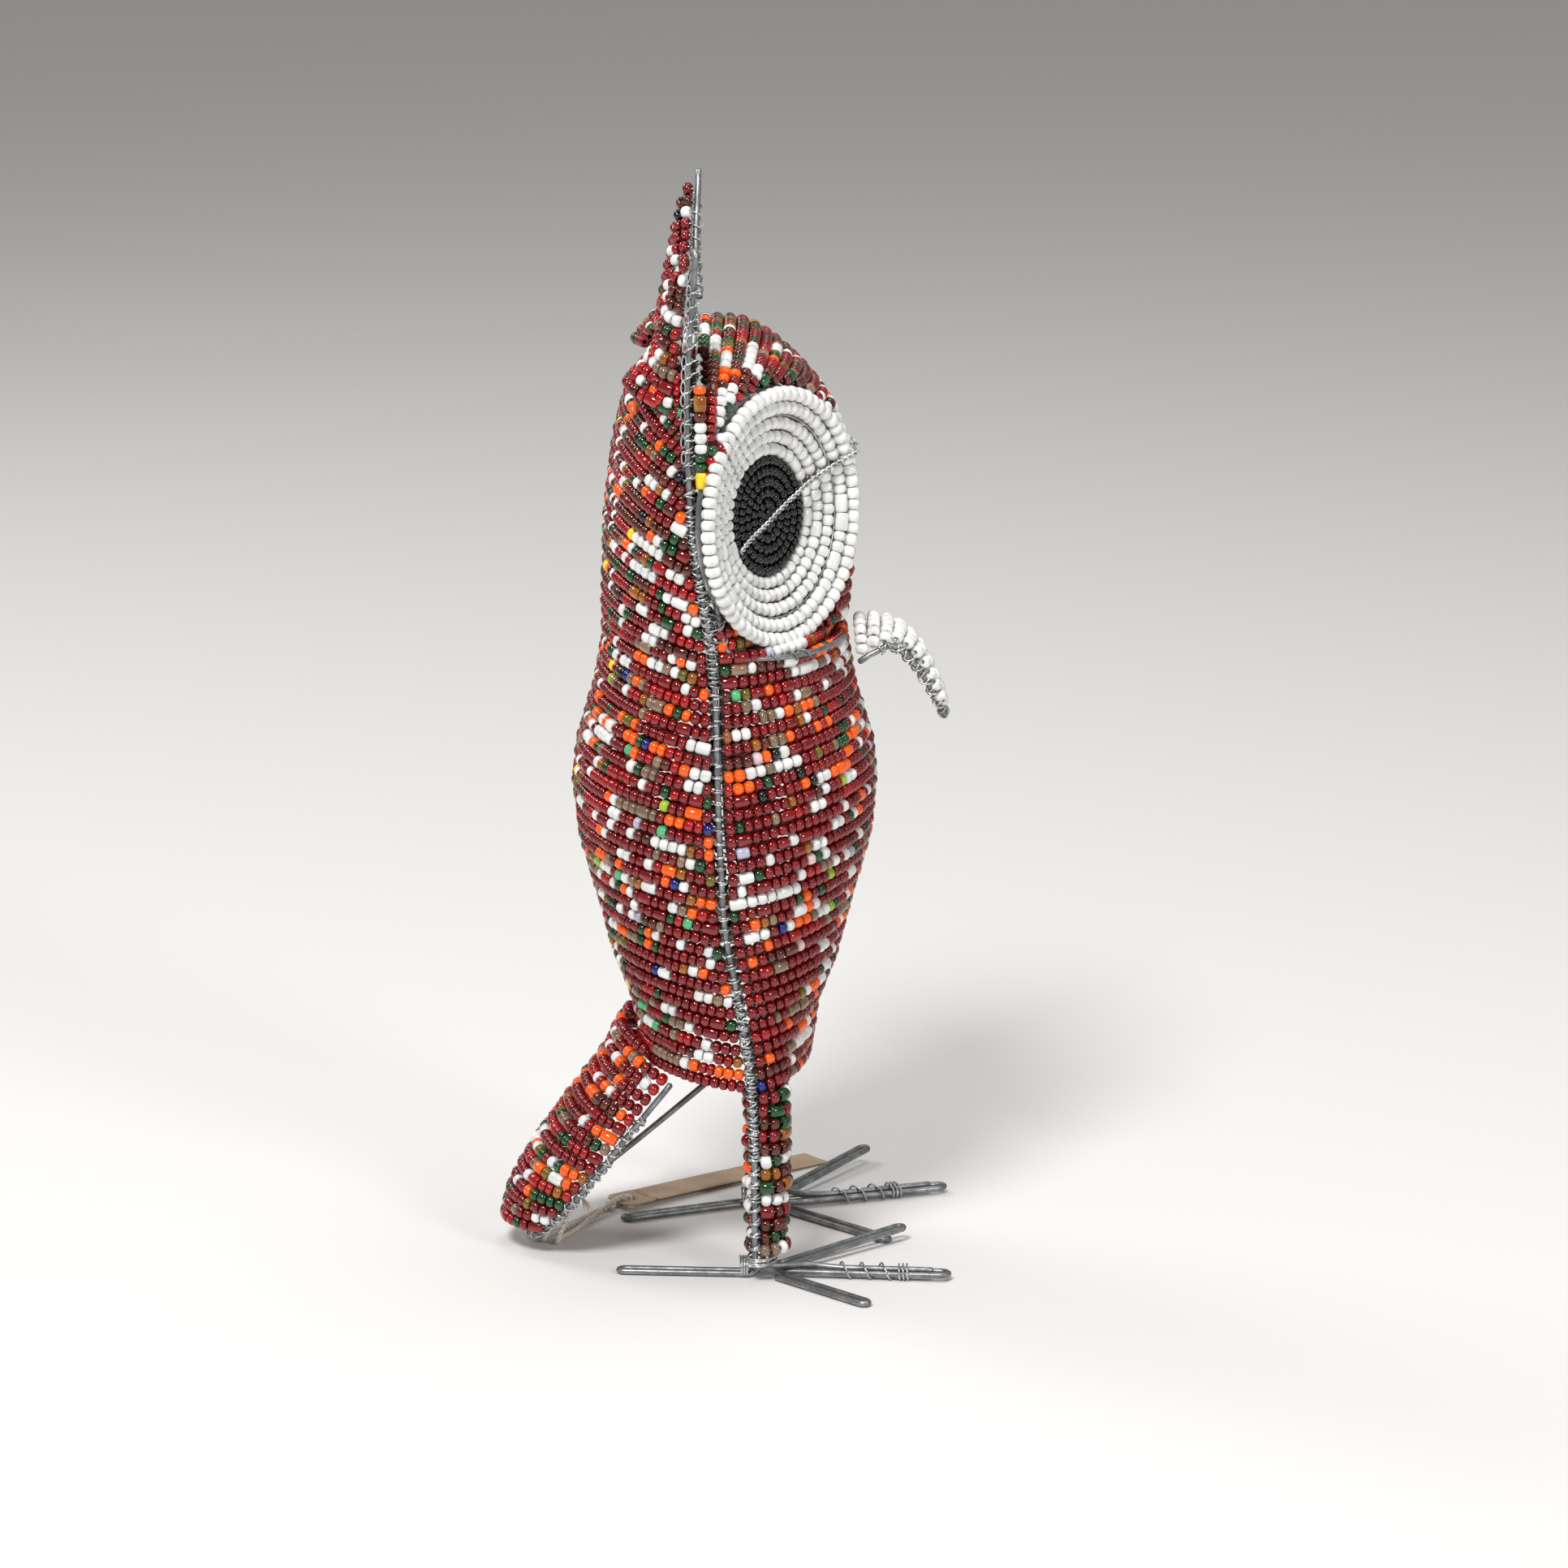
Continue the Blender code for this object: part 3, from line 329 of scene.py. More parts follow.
def bead_material(name, roughness):
    """Glass: streaks in each bead's colour, painted shade at the ends where beads meet, and in clear glass
    painted light on the lower side, where light gathers.
    """
    material, shader = new_material(name, roughness)
    shader.inputs["IOR"].default_value = 1.55
    shader.inputs["Specular IOR Level"].default_value = 0.62
    graph = Graph(material)
    uv = graph.node("ShaderNodeUVMap", uv_map="OFBake").outputs[0]
    grid = graph.node("ShaderNodeVectorMath", {0: uv, 1: (TILES,) * 3}, operation="MULTIPLY").outputs[0]
    cell = graph.node("ShaderNodeVectorMath", {0: grid}, operation="FRACTION").outputs[0]
    parts = graph.node("ShaderNodeSeparateXYZ", {0: cell})
    around, along = parts.outputs[0], parts.outputs[1]
    tint = graph.node("ShaderNodeAttribute", attribute_name="bead")
    colour, clear = tint.outputs["Color"], tint.outputs["Alpha"]
    streak = graph.node("ShaderNodeMapping", {"Vector": grid, "Scale": (5.0, 0.9, 1.0)}).outputs[0]
    noise = graph.node("ShaderNodeTexNoise", {"Vector": streak, "Scale": 1.0, "Detail": 2.0}).outputs["Fac"]
    shade = graph.span(noise, 0.25, 0.75, 0.80, 1.14)
    grey = graph.node("ShaderNodeCombineColor", {0: shade, 1: shade, 2: shade}).outputs[0]
    toned = graph.mix(1.0, colour, grey, "MULTIPLY")
    # Painted shade: each bead is darkened towards its ends, where it meets the next bead, more deeply in
    # clear glass.
    from_middle = graph.math("ABSOLUTE", graph.math("SUBTRACT", along, 0.47))
    end = graph.span(from_middle, 0.22, 0.44)
    painted_end_shade = graph.mix(1.0, toned, (0.28, 0.26, 0.26, 1.0), "MULTIPLY")
    painted_shade_depth = graph.math("ADD", graph.math("MULTIPLY", clear, 0.62), 0.22)
    body = graph.mix(graph.math("MULTIPLY", end, painted_shade_depth), toned, painted_end_shade)
    # Painted light: in clear glass, a brighter patch on the outer lower side of each bead, where light
    # gathers.
    low_side = graph.math("ABSOLUTE", graph.math("SUBTRACT", around, 0.63))
    glow_across = graph.span(low_side, 0.13, 0.02)
    glow_along = graph.span(from_middle, 0.30, 0.06)
    painted_light_mask = graph.math("MULTIPLY", graph.math("MULTIPLY", glow_across, glow_along), clear)
    bright = graph.node("ShaderNodeGamma", {"Color": toned, "Gamma": 0.62}).outputs[0]
    with_painted_light = graph.mix(graph.math("MULTIPLY", painted_light_mask, 0.75), body, bright)
    graph.tree.links.new(with_painted_light, shader.inputs["Base Color"])
    return material


def zinc_material(name, tone, roughness=0.42):
    """Hot-dip galvanised wire: mottled grey with darker specks and dull patches."""
    material, shader = new_material(name, roughness, 0.78)
    graph = Graph(material)
    place = graph.node("ShaderNodeTexCoord").outputs["Object"]
    broad = graph.node("ShaderNodeTexNoise", {"Vector": place, "Scale": 180.0, "Detail": 3.0}).outputs["Fac"]
    fine = graph.node("ShaderNodeTexNoise", {"Vector": place, "Scale": 900.0, "Detail": 4.0}).outputs["Fac"]
    patch = graph.span(broad, 0.36, 0.66)
    base = graph.mix(patch, (tone * 0.70, tone * 0.72, tone * 0.73, 1),
                     (tone * 1.22, tone * 1.25, tone * 1.28, 1))
    speck = graph.span(fine, 0.30, 0.62)
    worn = graph.mix(speck, (tone * 0.48, tone * 0.48, tone * 0.48, 1), base)
    mixed = graph.mix(0.6, base, worn)
    graph.tree.links.new(mixed, shader.inputs["Base Color"])
    rough = graph.span(broad, 0.3, 0.7, roughness + 0.08, roughness - 0.08)
    graph.tree.links.new(rough, shader.inputs["Roughness"])
    return material


def paper_material():
    """Kraft card: brown fibres, lighter and darker flecks, and a soft crease grain."""
    material, shader = new_material("kraft_paper_fibres", 0.88)
    graph = Graph(material)
    place = graph.node("ShaderNodeTexCoord").outputs["Object"]
    turned = graph.node("ShaderNodeMapping", {"Vector": place, "Rotation": (0, 0, -TAG_DIRECTION),
                                              "Scale": (1.0, 5.0, 1.0)}).outputs[0]
    fibre = graph.node("ShaderNodeTexNoise", {"Vector": turned, "Scale": 520.0, "Detail": 5.0}).outputs["Fac"]
    cloud = graph.node("ShaderNodeTexNoise", {"Vector": place, "Scale": 70.0, "Detail": 3.0}).outputs["Fac"]
    base = graph.mix(graph.span(cloud, 0.3, 0.7), (0.42, 0.305, 0.20, 1), (0.53, 0.395, 0.275, 1))
    mixed = graph.mix(graph.span(fibre, 0.55, 0.8), base, (0.30, 0.20, 0.125, 1))
    graph.tree.links.new(mixed, shader.inputs["Base Color"])
    bump = graph.node("ShaderNodeBump", {"Height": fibre, "Strength": 0.25, "Distance": 0.00015})
    graph.tree.links.new(bump.outputs[0], shader.inputs["Normal"])
    return material


def cotton_material():
    """Undyed cotton yarn."""
    material, shader = new_material("cotton_yarn", 0.93)
    shader.inputs["Sheen Weight"].default_value = 0.25
    graph = Graph(material)
    place = graph.node("ShaderNodeTexCoord").outputs["Object"]
    fluff = graph.node("ShaderNodeTexNoise", {"Vector": place, "Scale": 1400.0, "Detail": 4.0}).outputs["Fac"]
    mixed = graph.mix(graph.span(fluff, 0.3, 0.7), (0.62, 0.55, 0.45, 1), (0.86, 0.81, 0.73, 1))
    graph.tree.links.new(mixed, shader.inputs["Base Color"])
    bump = graph.node("ShaderNodeBump", {"Height": fluff, "Strength": 0.4, "Distance": 0.0002})
    graph.tree.links.new(bump.outputs[0], shader.inputs["Normal"])
    return material


MATERIALS = {
    "red_beads": bead_material("red_glass_beads", 0.07),
    "brown_beads": bead_material("mixed_glass_beads", 0.07),
    "white_beads": bead_material("white_glass_beads", 0.13),
    "black_beads": bead_material("black_glass_beads", 0.06),
    "galvanised_wire": zinc_material("galvanised_wire", 0.30),
    "binding_wire": zinc_material("binding_wire", 0.62, 0.28),
    "kraft_paper": paper_material(),
    "cotton": cotton_material(),
}


# Mesh building ----------------------------------------------------------------------------------------


def to_metres(points):
    return (np.asarray(points, float) + (MIDLINE_X, 0, 0)) * MM


def new_piece(name, vertices, quads, material, body, nodes):
    """A smooth mesh of quads, riding on a body, in place of its CAD nodes."""
    mesh = bpy.data.meshes.new(name)
    quads = np.asarray(quads, np.int32)
    mesh.vertices.add(len(vertices))
    mesh.vertices.foreach_set("co", np.asarray(vertices, np.float32).ravel())
    mesh.loops.add(quads.size)
    mesh.loops.foreach_set("vertex_index", quads.ravel())
    mesh.polygons.add(len(quads))
    mesh.polygons.foreach_set("loop_start", np.arange(0, quads.size, 4, dtype=np.int32))
    mesh.update(calc_edges=True)
    mesh.polygons.foreach_set("use_smooth", np.ones(len(quads), bool))
    mesh.materials.append(MATERIALS[material])
    obj = bpy.data.objects.new(name, mesh)
    bpy.context.scene.collection.objects.link(obj)
    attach(obj, body)
    if nodes:
        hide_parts(*nodes)
    return obj


class Tubes:
    """Round wires gathered into one mesh."""

    def __init__(self):
        self.vertices, self.quads, self.count = [], [], 0

    def add(self, points, radius=THIN_WIRE_R, sides=6, closed=False):
        p = np.asarray(points, float)
        tangents, normals = frames(p, closed)
        side = np.cross(tangents, normals)
        radii = np.broadcast_to(radius, len(p)).astype(float)
        if not closed:
            step = np.minimum(radii[[0, -1]], 0.4)
            p = np.vstack([p[0] - tangents[0] * step[0], p, p[-1] + tangents[-1] * step[1]])
            radii = np.concatenate([[radii[0] * 0.45], radii, [radii[-1] * 0.45]])
            normals = np.vstack([normals[:1], normals, normals[-1:]])
            side = np.vstack([side[:1], side, side[-1:]])
        angle = TAU * np.arange(sides) / sides
        ring = np.cos(angle)[None, :, None] * normals[:, None] + np.sin(angle)[None, :, None] * side[:, None]
        self.vertices.append((p[:, None] + ring * radii[:, None, None]).reshape(-1, 3))
        n = len(p)
        i = np.arange(n if closed else n - 1)[:, None] * sides
        j = (np.arange(1, n + 1) % n)[:len(i), None] * sides
        k = np.arange(sides)[None]
        turned = (k + 1) % sides
        quads = np.stack([i + k, i + turned, j + turned, j + k], axis=-1).reshape(-1, 4) + self.count
        self.quads.append(quads)
        if not closed:
            for start, order in ((0, -1), ((n - 1) * sides, 1)):
                loop = start + np.arange(sides)[::order] + self.count
                self.quads.append(np.array([[loop[0], loop[m], loop[m + 1], loop[m + 2]]
                                            for m in range(1, sides - 2, 2)]))
        self.count += n * sides

    def piece(self, name, material="galvanised_wire", body="owl", slot="galvanised_wire", nodes=()):
        return new_piece(name, to_metres(np.vstack(self.vertices)), np.vstack(self.quads), material, body,
                         nodes)


# The bead's section: (along, from the axis) on its outside, left to right; the hole closes it.
BEAD_SECTION = np.array([(-0.84, 0.30), (-1.0, 0.45), (-0.87, 0.72), (-0.48, 0.94), (0.0, 1.0), (0.48, 0.94),
                         (0.87, 0.72), (1.0, 0.45), (0.84, 0.30)])
TUBE_SECTION = np.array([(-0.92, 0.31), (-1.0, 0.55), (-0.95, 0.80), (-0.74, 0.96), (0.0, 1.0), (0.74, 0.96),
                         (0.95, 0.80), (1.0, 0.55), (0.92, 0.31)])

BODY_MIX = {"red": 40, "bright_red": 7, "white": 15.5, "orange": 10.5, "green": 6.5, "clear": 7.5, "amber": 3,
            "olive": 2.2, "brown": 2.5, "navy": 1.2, "black": 1.2, "yellow": 0.7, "mint": 0.9, "lime": 1.1,
            "lilac": 0.8, "pale_pink": 0.4}
HEAD_MIX = {"red": 20, "bright_red": 14, "brown": 17, "white": 18, "green": 15, "orange": 4.5, "amber": 4.5,
            "clear": 3, "olive": 2, "black": 1.2, "yellow": 0.5, "mint": 0.5}
LEG_MIX = {"red": 22, "brown": 18, "green": 18, "white": 18, "amber": 8, "clear": 6, "orange": 5, "olive": 3}
TAIL_MIX = {"red": 42, "bright_red": 14, "white": 15, "orange": 12, "green": 6, "clear": 4, "amber": 2,
            "olive": 2, "yellow": 0.8, "navy": 0.6, "brown": 1}
# How readily a colour repeats along a strand.
KEEP_RUNS = {"red": 2.2, "bright_red": 1.5, "brown": 1.5, "white": 0.9, "orange": 0.5, "green": 0.4,
             "clear": 0.8}
WHITE_MIX = {"white": 1}
BLACK_MIX = {"black": 1}


class Beads:
    """Single beads gathered into one mesh."""

    def __init__(self, mix, keep=0.24, around=12):
        self.names = [GLASS_NAMES.index(name) for name in mix]
        weights = np.array(list(mix.values()), float)
        self.weights = weights / weights.sum()
        self.keep = keep
        self.around = around
        self.rows = []
        self.colour = None

    def next_colour(self):
        keep = self.keep * KEEP_RUNS.get(GLASS_NAMES[self.colour], 0.15) if self.colour is not None else 0
        if RANDOM.random() >= keep:
            self.colour = int(RANDOM.choice(self.names, p=self.weights))
        return self.colour

    def thread(self, path, inside, radius=BEAD_R, length=BEAD_LENGTH, doubles=0.09, spread=0.07,
               closed=False):
        """Beads along a strand, end to end. Their outer side faces away from the inside point."""
        fine = np.asarray(path, float)
        if closed:
            fine = np.vstack([fine, fine[:1]])
        run = np.concatenate([[0], np.cumsum(lengths(fine))])
        total = run[-1]
        sizes, colours = [], []
        while sum(sizes) < total - length * 0.5:
            colour = self.next_colour()
            opaque = GLASS[GLASS_NAMES[colour]][1] == 0.0
            size = length * (1.06 if opaque else 0.97) * RANDOM.uniform(0.88, 1.12)
            if doubles and RANDOM.random() < doubles:
                size *= 1.65
            sizes.append(size)
            colours.append(colour)
        if not sizes:
            return
        edges = np.concatenate([[0], np.cumsum(sizes)]) * total / sum(sizes)
        at = np.column_stack([np.interp(edges, run, fine[:, i]) for i in range(3)])
        axis = at[1:] - at[:-1]
        size = np.linalg.norm(axis, axis=1)
        axis = unit(axis)
        middle = np.interp((edges[1:] + edges[:-1]) / 2, run, np.arange(len(run)))
        centre = np.column_stack([np.interp(middle, np.arange(len(run)), fine[:, i]) for i in range(3)])
        out = centre - np.asarray(inside, float)
        out = unit(out - axis * (out * axis).sum(axis=1, keepdims=True))
        # down is turned to point below; the painted light of clear beads lies on that lower side.
        down = np.cross(axis, out)
        flip = np.where(down[:, 2] > 0, -1.0, 1.0)[:, None]
        radii = radius * RANDOM.normal(1.0, spread * 0.5, len(size))
        centre = centre + out * RANDOM.normal(0, 0.10, len(size))[:, None]
        tubes = size > length * 1.35
        for row in zip(centre, axis * flip, out, down * flip, size * 0.485, radii, colours, tubes):
            self.rows.append(row)

    def piece(self, name, material, body="owl", slot=None, nodes=()):
        centre, axis, out, down, half, radii, colours, tubes = (np.array(c) for c in zip(*self.rows))
        n, k = len(centre), self.around
        section = np.where(tubes[:, None, None], TUBE_SECTION, BEAD_SECTION)
        j = section.shape[1]
        angle = TAU * (np.arange(k) / k - 0.5)
        tilt = np.cos(angle)[None, :, None] * out[:, None] + np.sin(angle)[None, :, None] * down[:, None]
        along = section[:, None, :, 0] * half[:, None, None]
        away = section[:, None, :, 1] * radii[:, None, None]
        vertices = (centre[:, None, None] + axis[:, None, None] * along[..., None]
                    + tilt[:, :, None] * away[..., None])
        a, b = np.meshgrid(np.arange(k), np.arange(j), indexing="ij")
        a1, b1 = (a + 1) % k, (b + 1) % j
        quad = np.stack([a * j + b, a1 * j + b, a1 * j + b1, a * j + b1], axis=-1).reshape(-1, 4)
        quads = (quad[None] + (np.arange(n) * k * j)[:, None, None]).reshape(-1, 4)
        obj = new_piece(name, to_metres(vertices.reshape(-1, 3)), quads, material, body,
                        nodes)
        level = np.linspace(0.0, 0.94, j)
        top = np.where(b + 1 < j, level[b1], 1.0)
        u = np.stack([a, a + 1, a + 1, a], axis=-1).reshape(-1, 4) / k
        v = np.stack([level[b], level[b], top, top], axis=-1).reshape(-1, 4)
        variant = RANDOM.integers(0, VARIANTS, n)
        tile = colours * VARIANTS + variant
        inner = 0.03 + 0.94 * np.stack([u, v], axis=-1)
        corner = np.stack([tile % TILES, tile // TILES], axis=-1)
        uv = (inner[None] + corner[:, None, None]) / TILES
        obj.data.uv_layers.new(name="OFBake").data.foreach_set("uv", uv.astype(np.float32).ravel())
        palette = np.array([(*colour, clear) for colour, clear in GLASS.values()])
        tint = palette[colours]
        shade = np.array([1.0, 0.86, 1.10, 0.94])[variant]
        opaque = tint[:, 3] == 0
        tint[:, :3] *= np.where(opaque, 1 - (1 - shade) * 0.3, shade)[:, None]
        tint = np.clip(tint, 0, 1)
        layer = obj.data.color_attributes.new(name="bead", type="FLOAT_COLOR", domain="POINT")
        layer.data.foreach_set("color", np.repeat(tint, k * j, axis=0).astype(np.float32).ravel())
        print(name, n, "beads")
        return obj


# Camera, floor and light ------------------------------------------------------------------------------


def make_stage():
    data = bpy.data.cameras.new("camera")
    data.lens = 129.5
    data.sensor_width = 36.0
    data.clip_end = 50.0
    camera = bpy.data.objects.new("camera", data)
    camera.location = (-1.7773, -0.019, 0.5785)
    camera.rotation_euler = (math.radians(76.5), 0, math.radians(-90))
    bpy.context.scene.collection.objects.link(camera)
    bpy.context.scene.camera = camera

    mesh = bpy.data.meshes.new("floor")
    size = 6.0
    mesh.from_pydata([(-size, -size, 0), (size, -size, 0), (size, size, 0), (-size, size, 0)], [],
                     [(0, 1, 2, 3)])
    material, shader = new_material("floor_paint", 0.85)
    shader.inputs["Base Color"].default_value = (0.80, 0.79, 0.77, 1)
    shader.inputs["Specular IOR Level"].default_value = 0.1
    mesh.materials.append(material)
    floor = bpy.data.objects.new("floor", mesh)
    floor.location.z = -0.0002
    bpy.context.scene.collection.objects.link(floor)

    world = bpy.data.worlds.new("studio")
    world.use_nodes = True
    world.node_tree.nodes["Background"].inputs["Color"].default_value = (1.0, 0.99, 0.98, 1)
    world.node_tree.nodes["Background"].inputs["Strength"].default_value = 0.30
    bpy.context.scene.world = world
    bpy.context.scene.view_settings.view_transform = "Standard"
    for name, place, aim, size, power in (
        ("key", (-1.2, 0.5, 1.7), (0, 0, 0.17), 0.55, 30.0),
        ("fill", (-1.4, -1.2, 1.0), (0, 0, 0.17), 0.45, 9.0),
        ("top", (0.2, -0.3, 1.9), (0, 0, 0.1), 1.1, 9.0),
        ("back", (0.9, 1.2, 1.4), (0, 0, 0.2), 0.8, 9.0),
    ):
        lamp = bpy.data.lights.new(name, "AREA")
        lamp.shape = "DISK"
        lamp.size = size
        lamp.energy = power
        light = bpy.data.objects.new(name, lamp)
        light.location = place
        way = Vector(aim) - Vector(place)
        light.rotation_euler = way.to_track_quat("-Z", "Y").to_euler()
        bpy.context.scene.collection.objects.link(light)


make_stage()


# Tag and string ---------------------------------------------------------------------------------------


def make_string():
    """Two plies twisted round the route, a knot and frayed ends at the brace, and a knot by the card."""
    route = smooth(STRING_ROUTE, 260)
    cord = Tubes()
    for phase in (0.0, math.pi):
        cord.add(coil_round(route, 3.8, 0.46, 12, phase), 0.52, 8)
    body = cord.piece("string_twist", "cotton", "tag", "cotton", ["tag_string"])

    knots = Tubes()
    for place, size in STRING_KNOTS:
        turn = np.linspace(0, TAU, 44, endpoint=False)
        trefoil = np.column_stack([np.sin(turn) + 2 * np.sin(2 * turn), np.cos(turn) - 2 * np.cos(2 * turn),
                                   -np.sin(3 * turn)]) * 0.42 * size
        knots.add(trefoil + place, 0.70, 8, closed=True)
    knot = knots.piece("string_knots", "cotton", "tag", "cotton")

    frays = Tubes()
    for start, way in FRAYED_ENDS:
        for _ in range(9):
            drift = RANDOM.normal(0, 0.7, 3)
            points = [np.array(start) + np.array(way) * t + drift * t**1.5 * 1.5 for t in (0, 0.3, 0.65, 1.0)]
            frays.add(smooth(points, 8), np.linspace(0.36, 0.16, 8), 5)
    fray = frays.piece("string_ends", "cotton", "tag", "cotton")
    make_card()


def make_card():
    """The blank card, cut straight at the far end and with clipped corners by its hole."""
    along = np.array([math.cos(TAG_DIRECTION), math.sin(TAG_DIRECTION)])
    cross = np.array([-along[1], along[0]])
    near, far, half = -TAG_HOLE_FROM_END, TAG_LENGTH - TAG_HOLE_FROM_END, TAG_WIDTH / 2
    count = 32
    turn = TAU * np.arange(count) / count
    ring = np.column_stack([np.cos(turn), np.sin(turn)])
    rays = []
    for direction in ring:
        reach = min(HOLE_SQUARE / max(abs(direction[0]), 1e-6), half / max(abs(direction[1]), 1e-6))
        point = direction * reach
        point[0] = max(point[0], near)
        if point[0] - near < TAG_CORNER and abs(point[1]) > half - TAG_CORNER:
            point[1] = math.copysign(half - TAG_CORNER + (point[0] - near), point[1])
        rays.append(point)
    rays = np.array(rays)
    levels = [ring * TAG_HOLE_R, ring * (TAG_HOLE_R + 0.5), rays * 0.55 + ring * TAG_HOLE_R * 0.45, rays]
    flat = np.vstack(levels)
    quads = [(r * count + k, r * count + (k + 1) % count, (r + 1) * count + (k + 1) % count,
              (r + 1) * count + k) for r in range(3) for k in range(count)]
    right = [k for k in range(count) if rays[k][0] > HOLE_SQUARE - 0.01]
    right.sort(key=lambda k: rays[k][1])
    columns = 30
    start = len(flat)
    rows = len(right)
    xs = HOLE_SQUARE + (far - HOLE_SQUARE) * np.arange(1, columns + 1) / columns
    flat = np.vstack([flat, [(x, rays[k][1]) for x in xs for k in right]])
    for c in range(columns):
        for r in range(rows - 1):
            a = right[r] + 3 * count if c == 0 else start + (c - 1) * rows + r
            b = right[r + 1] + 3 * count if c == 0 else start + (c - 1) * rows + r + 1
            quads.append((a, start + c * rows + r, start + c * rows + r + 1, b))
    t = flat[:, 0] / far
    z = np.maximum(TAG_LIFT * (1 - t) + 0.25 + 0.35 * np.sin(math.pi * np.clip(t, 0, 1)) * 0.9, 0.05)
    xy = np.array(TAG_HOLE) + flat[:, :1] * along + flat[:, 1:] * cross
    vertices = to_metres(np.column_stack([xy, z]))
    obj = new_piece("card", vertices, quads, "kraft_paper", "tag", ["tag_card"])
    solid = obj.modifiers.new("Thickness", "SOLIDIFY")
    solid.thickness = 0.42 * MM
    solid.offset = 0.0
    bevel = obj.modifiers.new("Edge", "BEVEL")
    bevel.width = 0.09 * MM
    bevel.segments = 1
    bevel.limit_method = "ANGLE"
    return obj


make_string()


# Frame wires ------------------------------------------------------------------------------------------

RIB = smooth(RIB_HEAD_TO_ANKLE, 160)
RIB_ORDER = np.argsort(RIB[:, 2])


def rib_point(z):
    if z > RIB_HEAD_TO_ANKLE[0][2]:
        low, high = np.array(RIB_HEAD_TO_ANKLE[0]), np.array(EAR_OUTER[0])
        t = (z - low[2]) / (high[2] - low[2])
        return tuple(low + (high - low) * t)
    return (float(np.interp(z, RIB[RIB_ORDER, 2], RIB[RIB_ORDER, 0])),
            float(np.interp(z, RIB[RIB_ORDER, 2], RIB[RIB_ORDER, 1])), z)


def toe_line(side, tip, from_ankle):
    root = np.array([side * LEG_CENTRE[0], LEG_CENTRE[1] - from_ankle])
    run = np.array(tip[:2], float) - root
    length = float(np.linalg.norm(run))
    return root, run / length, length


def side_rib_route(side):
    tip_x, tip_y, tip_z = EAR_TIPS[side]
    raise_by = tip_z - EAR_TIPS[-1][2]
    outer = [(x, y, z + raise_by * (z - 272.0) / 65.0) for x, y, z in EAR_OUTER]
    inner = [(x, y, z + raise_by * (z - 299.5) / 36.0) for x, y, z in EAR_INNER]
    bend = [(tip_x - 1.3 * EAR_TIP_BEND, tip_y, tip_z - EAR_TIP_BEND * 1.8),
            (tip_x - 0.4 * EAR_TIP_BEND, tip_y, tip_z - FRAME_WIRE_R),
            (tip_x + 0.75 * EAR_TIP_BEND, tip_y, tip_z - EAR_TIP_BEND * 1.4)]
    down = mirrored([*reversed(inner), *bend, *reversed(outer), *RIB_HEAD_TO_ANKLE], side)
    root, along, length = toe_line(side, TOES[side]["middle"], TOE_BEND_LENGTH)
    on_toe = [(*(root + along * s), RIB_ON_TOE_Z) for s in (15.0, 28.0, length - 6.0)]
    turn = [(side * 42.4, -10.5, 5.6), (side * 41.2, -14.6, 4.7), (side * 39.4, -20.0, 4.3),
            (*(root + along * 5.0), RIB_ON_TOE_Z + 0.7)]
    return [*down, *turn, *on_toe]


def toe_loop(start, tip, half_gap, z_start, z_tip):
    start, tip = np.array(start, float), np.array(tip[:2], float)
    length = np.linalg.norm(tip - start)
    along = (tip - start) / length
    side = np.array([-along[1], along[0]])

    def at(distance, offset):
        z = z_start + (z_tip - z_start) * distance / length
        return (*(start + along * distance + side * offset), z)

    bend = half_gap + 0.2
    end = length - FRAME_WIRE_R
    runs = [0.0, length * 0.5, end - 2.2 * bend]
    left = [at(d, half_gap) for d in runs]
    right = [at(d, -half_gap) for d in reversed(runs)]
    turn = [at(end - 0.7 * bend, half_gap * 0.95), at(end, half_gap * 0.35), at(end, -half_gap * 0.35),
            at(end - 0.7 * bend, -half_gap * 0.95)]
    return [*left, *turn, *right]


def leg_toe_route(side, tip, forward, half_gap, z):
    root, along, _ = toe_line(side, tip, -forward * TOE_BEND_LENGTH)
    route = toe_loop(root, tip, half_gap, z, z + tip[2])
    for end_sign in (1, -1):
        x = side * LEG_CENTRE[0] + math.copysign(CORE_OFFSET, end_sign * -along[1])
        y = LEG_CENTRE[1] + forward * CORE_OFFSET
        up = [(x + side * lean_x, y + lean_y, lean_z) for lean_x, lean_y, lean_z in CORE_LEAN]
        bend = [(x, y, 6.6), (x, y + forward * 1.4, z + 1.7), (x, y + forward * 3.6, z + 0.1)]
        route = [*up, *bend, *route] if end_sign > 0 else [*route, *reversed(bend), *reversed(up)]
    points = smooth_steps(route, 3.0)
    points[:, 2] = np.maximum(points[:, 2], z)
    return points


def eye_place(side):
    """A function that puts (inwards, up, out) of the eye's dish at its place on the head."""
    inward = np.array([-side * math.cos(EYE_TURN), -math.sin(EYE_TURN), 0])
    level_out = np.array([side * math.sin(EYE_TURN), -math.cos(EYE_TURN), 0])
    out = level_out * math.cos(EYE_TILT) + np.array([0, 0, math.sin(EYE_TILT)])
    up = np.array([0, 0, math.cos(EYE_TILT)]) - level_out * math.sin(EYE_TILT)
    centre = np.array([side * EYE_CENTRE[0], EYE_CENTRE[1], EYE_CENTRE[2]])
    return lambda a, b, c: centre + inward * a + up * b + out * c


def hairpin(edge, tip_y, tip_z, bend):
    turn = (bend, tip_y - (tip_y - edge[-1][1]) * 0.25, tip_z - (tip_z - edge[-1][2]) * 0.25)
    left = [*edge, turn]
    return [*left, (0.0, tip_y, tip_z), *reversed(mirrored(left, -1))]


BEAK_ROUTE = hairpin(BEAK_EDGE, *BEAK_TIP, 2.2)
TAIL_ROUTE = hairpin(TAIL_EDGE, *TAIL_TIP, 7.0)


